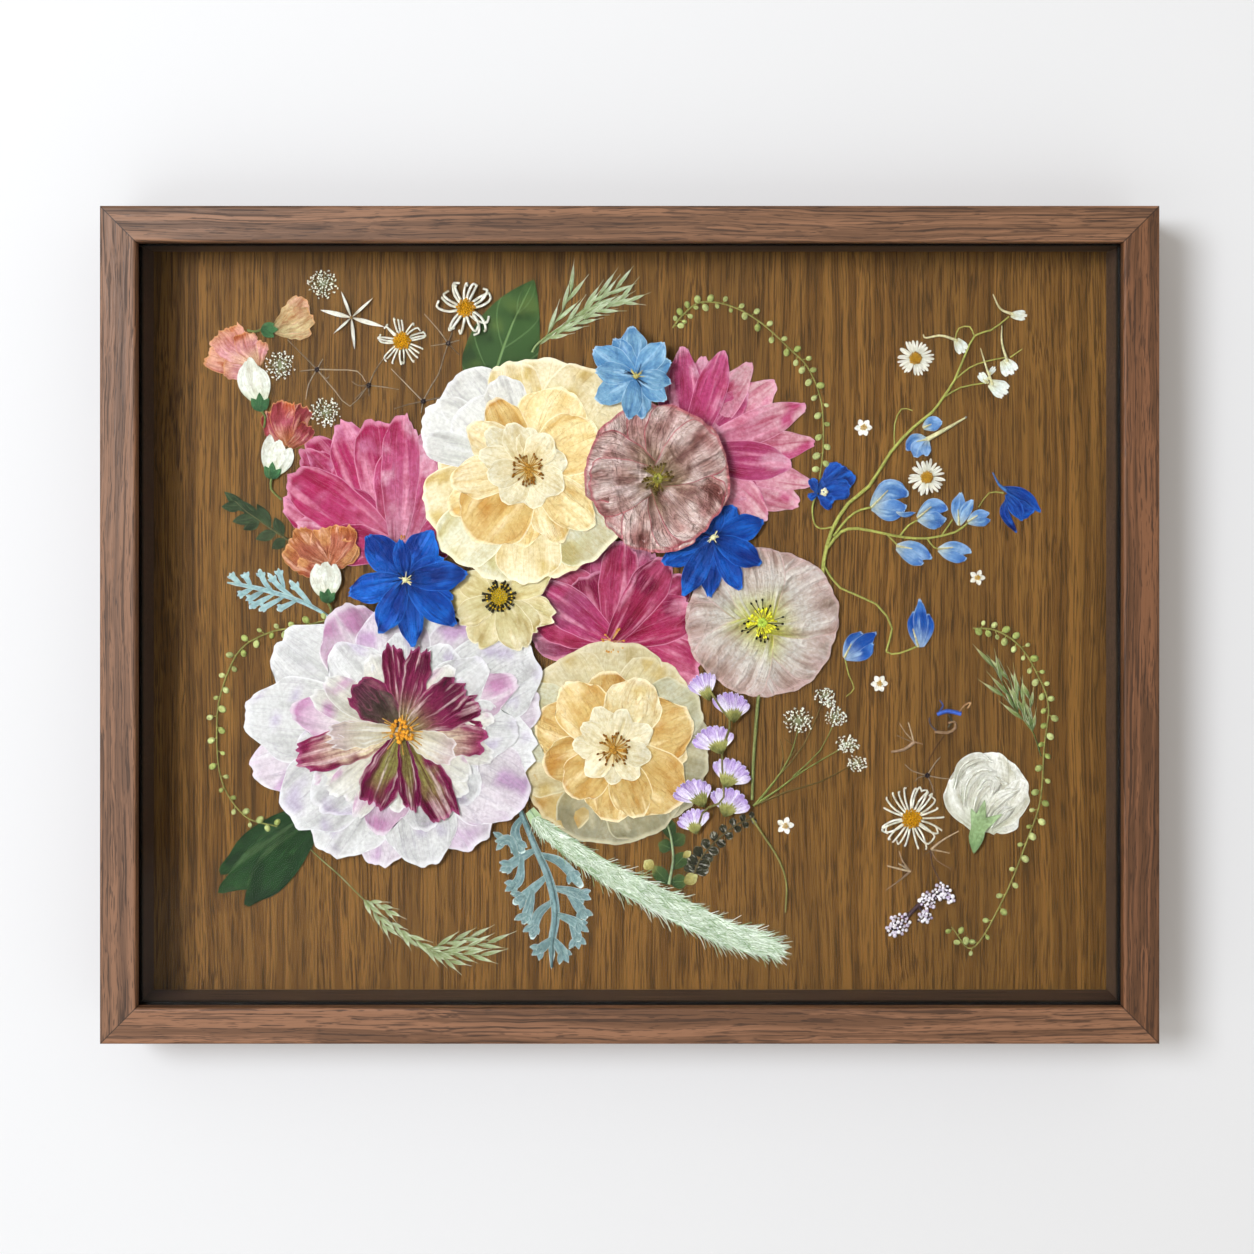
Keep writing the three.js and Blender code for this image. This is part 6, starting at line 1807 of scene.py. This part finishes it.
def babys_breath():
    """Fine forking stalks that end in umbels."""
    bm = new_plant()
    base = layer(0) + 0.1
    green, brown = "#7f8a4c", "#6f6038"
    for line, widths, tone in (
            ([(45.6, -68.4), (53.5, -59), (59, -50), (62, -40)], (0.9, 0.3), green),
            ([(46, -68), (55, -62), (64, -55.3), (80, -46)], (0.9, 0.3), green),
            ([(60, -57.5), (70, -48), (75.5, -37)], (0.5, 0.3), green),
            ([(46, -68.2), (58, -63), (70, -59.5), (82.4, -53)], (0.7, 0.3), brown),
            ([(53.5, -59), (64, -46), (71, -30)], (0.5, 0.3), brown),
            ([(55, -57), (56.5, -50), (55.3, -43.8)], (0.4, 0.2), brown),
            ([(57.5, -52), (61, -47.5), (57, -43.5)], (0.4, 0.2), brown)):
        thread(bm, line, widths, base, tone, 1, sides=4)
    for spot, reach, count in (((62, -36.8), 5.6, 46), ((71.9, -27.6), 3.6, 26), ((75.8, -35.6), 4.2, 34),
                               ((80.2, -45.7), 4.0, 36), ((83.4, -52.6), 3.6, 30), ((73.5, -30.5), 2.4, 12)):
        umbel(bm, spot, reach, count, squash=0.85, height=base)
    show_plant(bm, "babys_breath", [BLOSSOM, STEM])


def loose_umbels():
    """Three umbels without a stalk."""
    for number, (spot, tone) in enumerate((((-113.2, 124.0), "#eef0e4"), ((-128.9, 94), "#f3f3ee"),
                                           ((-112.1, 76.8), "#f1f1ea"))):
        bm = new_plant()
        umbel(bm, spot, 5.4, 52, tone, height=layer(0) + 0.1)
        show_plant(bm, f"blossom_cluster_{number + 1}", [BLOSSOM, STEM])


def star():
    """A star of six narrow pointed petals."""
    bm = new_plant()
    base = layer(1)
    centre = (-102.6, 111.6)
    white = shades("#c9c3b4", "#e9e9e4", "#f7f7f4")
    for tip, width in (((-106.3, 121.2), 1.1), ((-94.7, 118.8), 1.0), ((-114, 114.4), 1.7),
                       ((-90.6, 108.2), 1.7), ((-101.4, 100), 1.3), ((-109.1, 105.8), 0.9)):
        blade(bm, [centre, tip], width, base + 0.1 * dice.random(), "leaf", white, (10, 4), 0)
    bead(bm, centre, 0.7, base + 0.3, "#a98a5a", 1)
    show_plant(bm, "star_flower", [DAISY, STEM])


lavender()
babys_breath()
loose_umbels()
star()

# %% [markdown]
# ## The smallest specimens
# Between the flowers lie tiny whole flowers, thread-like flower heads that reach from knot to knot, and
# forked twigs. They are too fine for the solid model, so they are one extra piece that rests on the board.

# %% Tiny flowers, threads and twigs
KNOTS = [
    ((-115.4, 92.6), [[(-126.2, 103.5)], [(-121.9, 91.9)], [(-118.5, 87), (-119.5, 81.5)],
                      [(-108, 92.4), (-100.5, 91.9), (-97.5, 88)], [(-109, 85), (-103.2, 79), (-97, 86)],
                      [(-112, 89.2), (-110.6, 90.6)], [(-113.2, 96.5)]]),
    ((-96.3, 86.7), [[(-94, 92), (-89.8, 98)], [(-90, 86), (-85.2, 85.1)], [(-100, 86.6), (-102.6, 88.2)],
                     [(-101.5, 81.5)], [(-96.2, 82.8)]]),
    ((-76.3, 80.8), [[(-81, 85.6), (-88, 92.8)], [(-71, 82), (-66.8, 82.7)], [(-82, 79.6), (-87, 78)],
                     [(-73, 87), (-70.5, 91), (-68.4, 98), (-67.1, 102)], [(-77, 76.6)]]),
    ((-67.1, 102.2), [[(-70.5, 107), (-75.8, 113)], [(-73.6, 101.2)], [(-62.8, 103.4)], [(-63, 98)],
                      [(-65.5, 106.5), (-66, 110)]]),
    ((109.6, -57.1), [[(104, -55.4), (101.4, -53)], [(112.5, -52.5), (114.4, -50.4)],
                      [(114, -58), (118.4, -58.4)],
                      [(106.4, -57.9), (104.8, -59.4)], [(111.4, -61), (111.8, -63.4)]]),
]
TWIGS = [
    ([(113.4, -34.6), (117, -33.4), (122, -34.4)], (1.4, 1.8), "#3f5fb8"),
    ([(114.2, -33.4), (115.4, -31.4), (114.2, -29.4)], (0.8, 0.4), "#3a4a80"),
    ([(121.4, -33.6), (123.6, -31), (125.6, -30.4), (124.4, -32.4)], (0.7, 0.6), "#b08a63"),
    ([(117.5, -35), (118.6, -37), (117.2, -39.4)], (0.6, 0.7), "#4a4638"),
    ([(112.6, -41), (117, -41.4), (120, -39.6), (119.6, -37.4), (117.4, -37.8)], (1.2, 0.8), "#8d7158"),
    ([(112.8, -40.6), (110.6, -38.2), (110.4, -35.8)], (0.7, 0.5), "#4f4a55"),
    ([(115.6, -42.6), (112.4, -47.4), (109.8, -52)], (0.4, 0.3), "#5a4030"),
    ([(96.4, -48.4), (101, -47.6), (104.8, -44.8)], (0.8, 1.4), "#9a7f6a"),
    ([(104, -44.6), (108, -45.6)], (0.8, 0.3), "#8a6f58"),
    ([(104.4, -44.4), (101.6, -41.4), (99.4, -38)], (0.6, 0.3), "#a08a70"),
    ([(104.4, -44.2), (103.6, -41), (102.6, -37.6)], (0.6, 0.4), "#b8a68c"),
    ([(104, -44.8), (98.4, -42.4)], (0.4, 0.3), "#7a6450"),
    ([(111, -84.4), (114.6, -81.4), (118.6, -79), (121.2, -77.6)], (1.0, 0.3), "#b09a80"),
    ([(111, -84.4), (114.4, -85), (117.8, -85.8)], (0.8, 0.4), "#a8937a"),
    ([(111, -84.4), (113, -88.4), (118.6, -91.6)], (0.7, 0.2), "#7d6450"),
    ([(110.8, -84.6), (111.4, -90), (114.4, -96.4)], (0.7, 0.4), "#5a443a"),
    ([(111, -84.6), (107.8, -86.8)], (0.4, 0.2), "#6b5645"),
    ([(103.3, -92.5), (100.4, -88.6), (99.2, -85)], (0.8, 0.4), "#9d866e"),
    ([(103.3, -92.5), (98.6, -91.4), (94.8, -90.4)], (0.9, 0.5), "#b3a18a"),
    ([(103.3, -92.5), (98.6, -96.4), (94.2, -99.4)], (0.8, 0.2), "#8c7764"),
    ([(102, -91.4), (99, -89.6)], (0.9, 0.5), "#a59683"),
]
SNOW = shades("#f2f1ec", "#f6f5f2", "#f8f8f6")
TINY_FLOWERS = [((86.0, 71.2), 3.1, 6), ((128.0, 15.9), 2.8, 5), ((91.9, -23.2), 3.0, 6),
                ((57.2, -75.6), 3.1, 5)]


print("knots:", len(KNOTS), "twigs:", len(TWIGS), "tiny flowers:", len(TINY_FLOWERS))


def smallest():
    """Threads and beads for the knots and twigs, and petals round a disc for the tiny flowers."""
    bm = new_plant()
    base = 0.35
    for centre, rays in KNOTS:
        for line in rays:
            tone = mix(linear("#6b5a48"), linear("#a89a88"), dice.random())
            thread(bm, [centre] + line, (0.5, 0.28), base, tone, 1, sides=4)
        for number in range(7):
            spot = around(centre, number * 51, 0.55)
            bead(bm, spot, dice.uniform(0.35, 0.6), base + 0.3, "#2c2328", 1)
    for line, widths, tone in TWIGS:
        thread(bm, line, widths, base, tone, 1)
    for centre, reach, count in TINY_FLOWERS:
        for number in range(count):
            degrees = 360 * number / count + dice.uniform(-8, 8)
            size = (degrees, reach * 1.05, reach * 0.66)
            petal(bm, centre, size, base + 0.12 * (number % 2), "broad", SNOW, (8, 6), 0)
        disc(bm, centre, reach * 0.36, base + 0.5, "#d8a82a", "#8f7a1e", 14, 0.28)
    show_plant(bm, None, [DAISY, STEM], "smallest_specimens")


smallest()

# %% [markdown]
# ## Colour view
# The petals may not make the box any bigger. The plain Standard view shows each colour as it is given.

# %% Colour view
bpy.context.scene.view_settings.view_transform = "Standard"
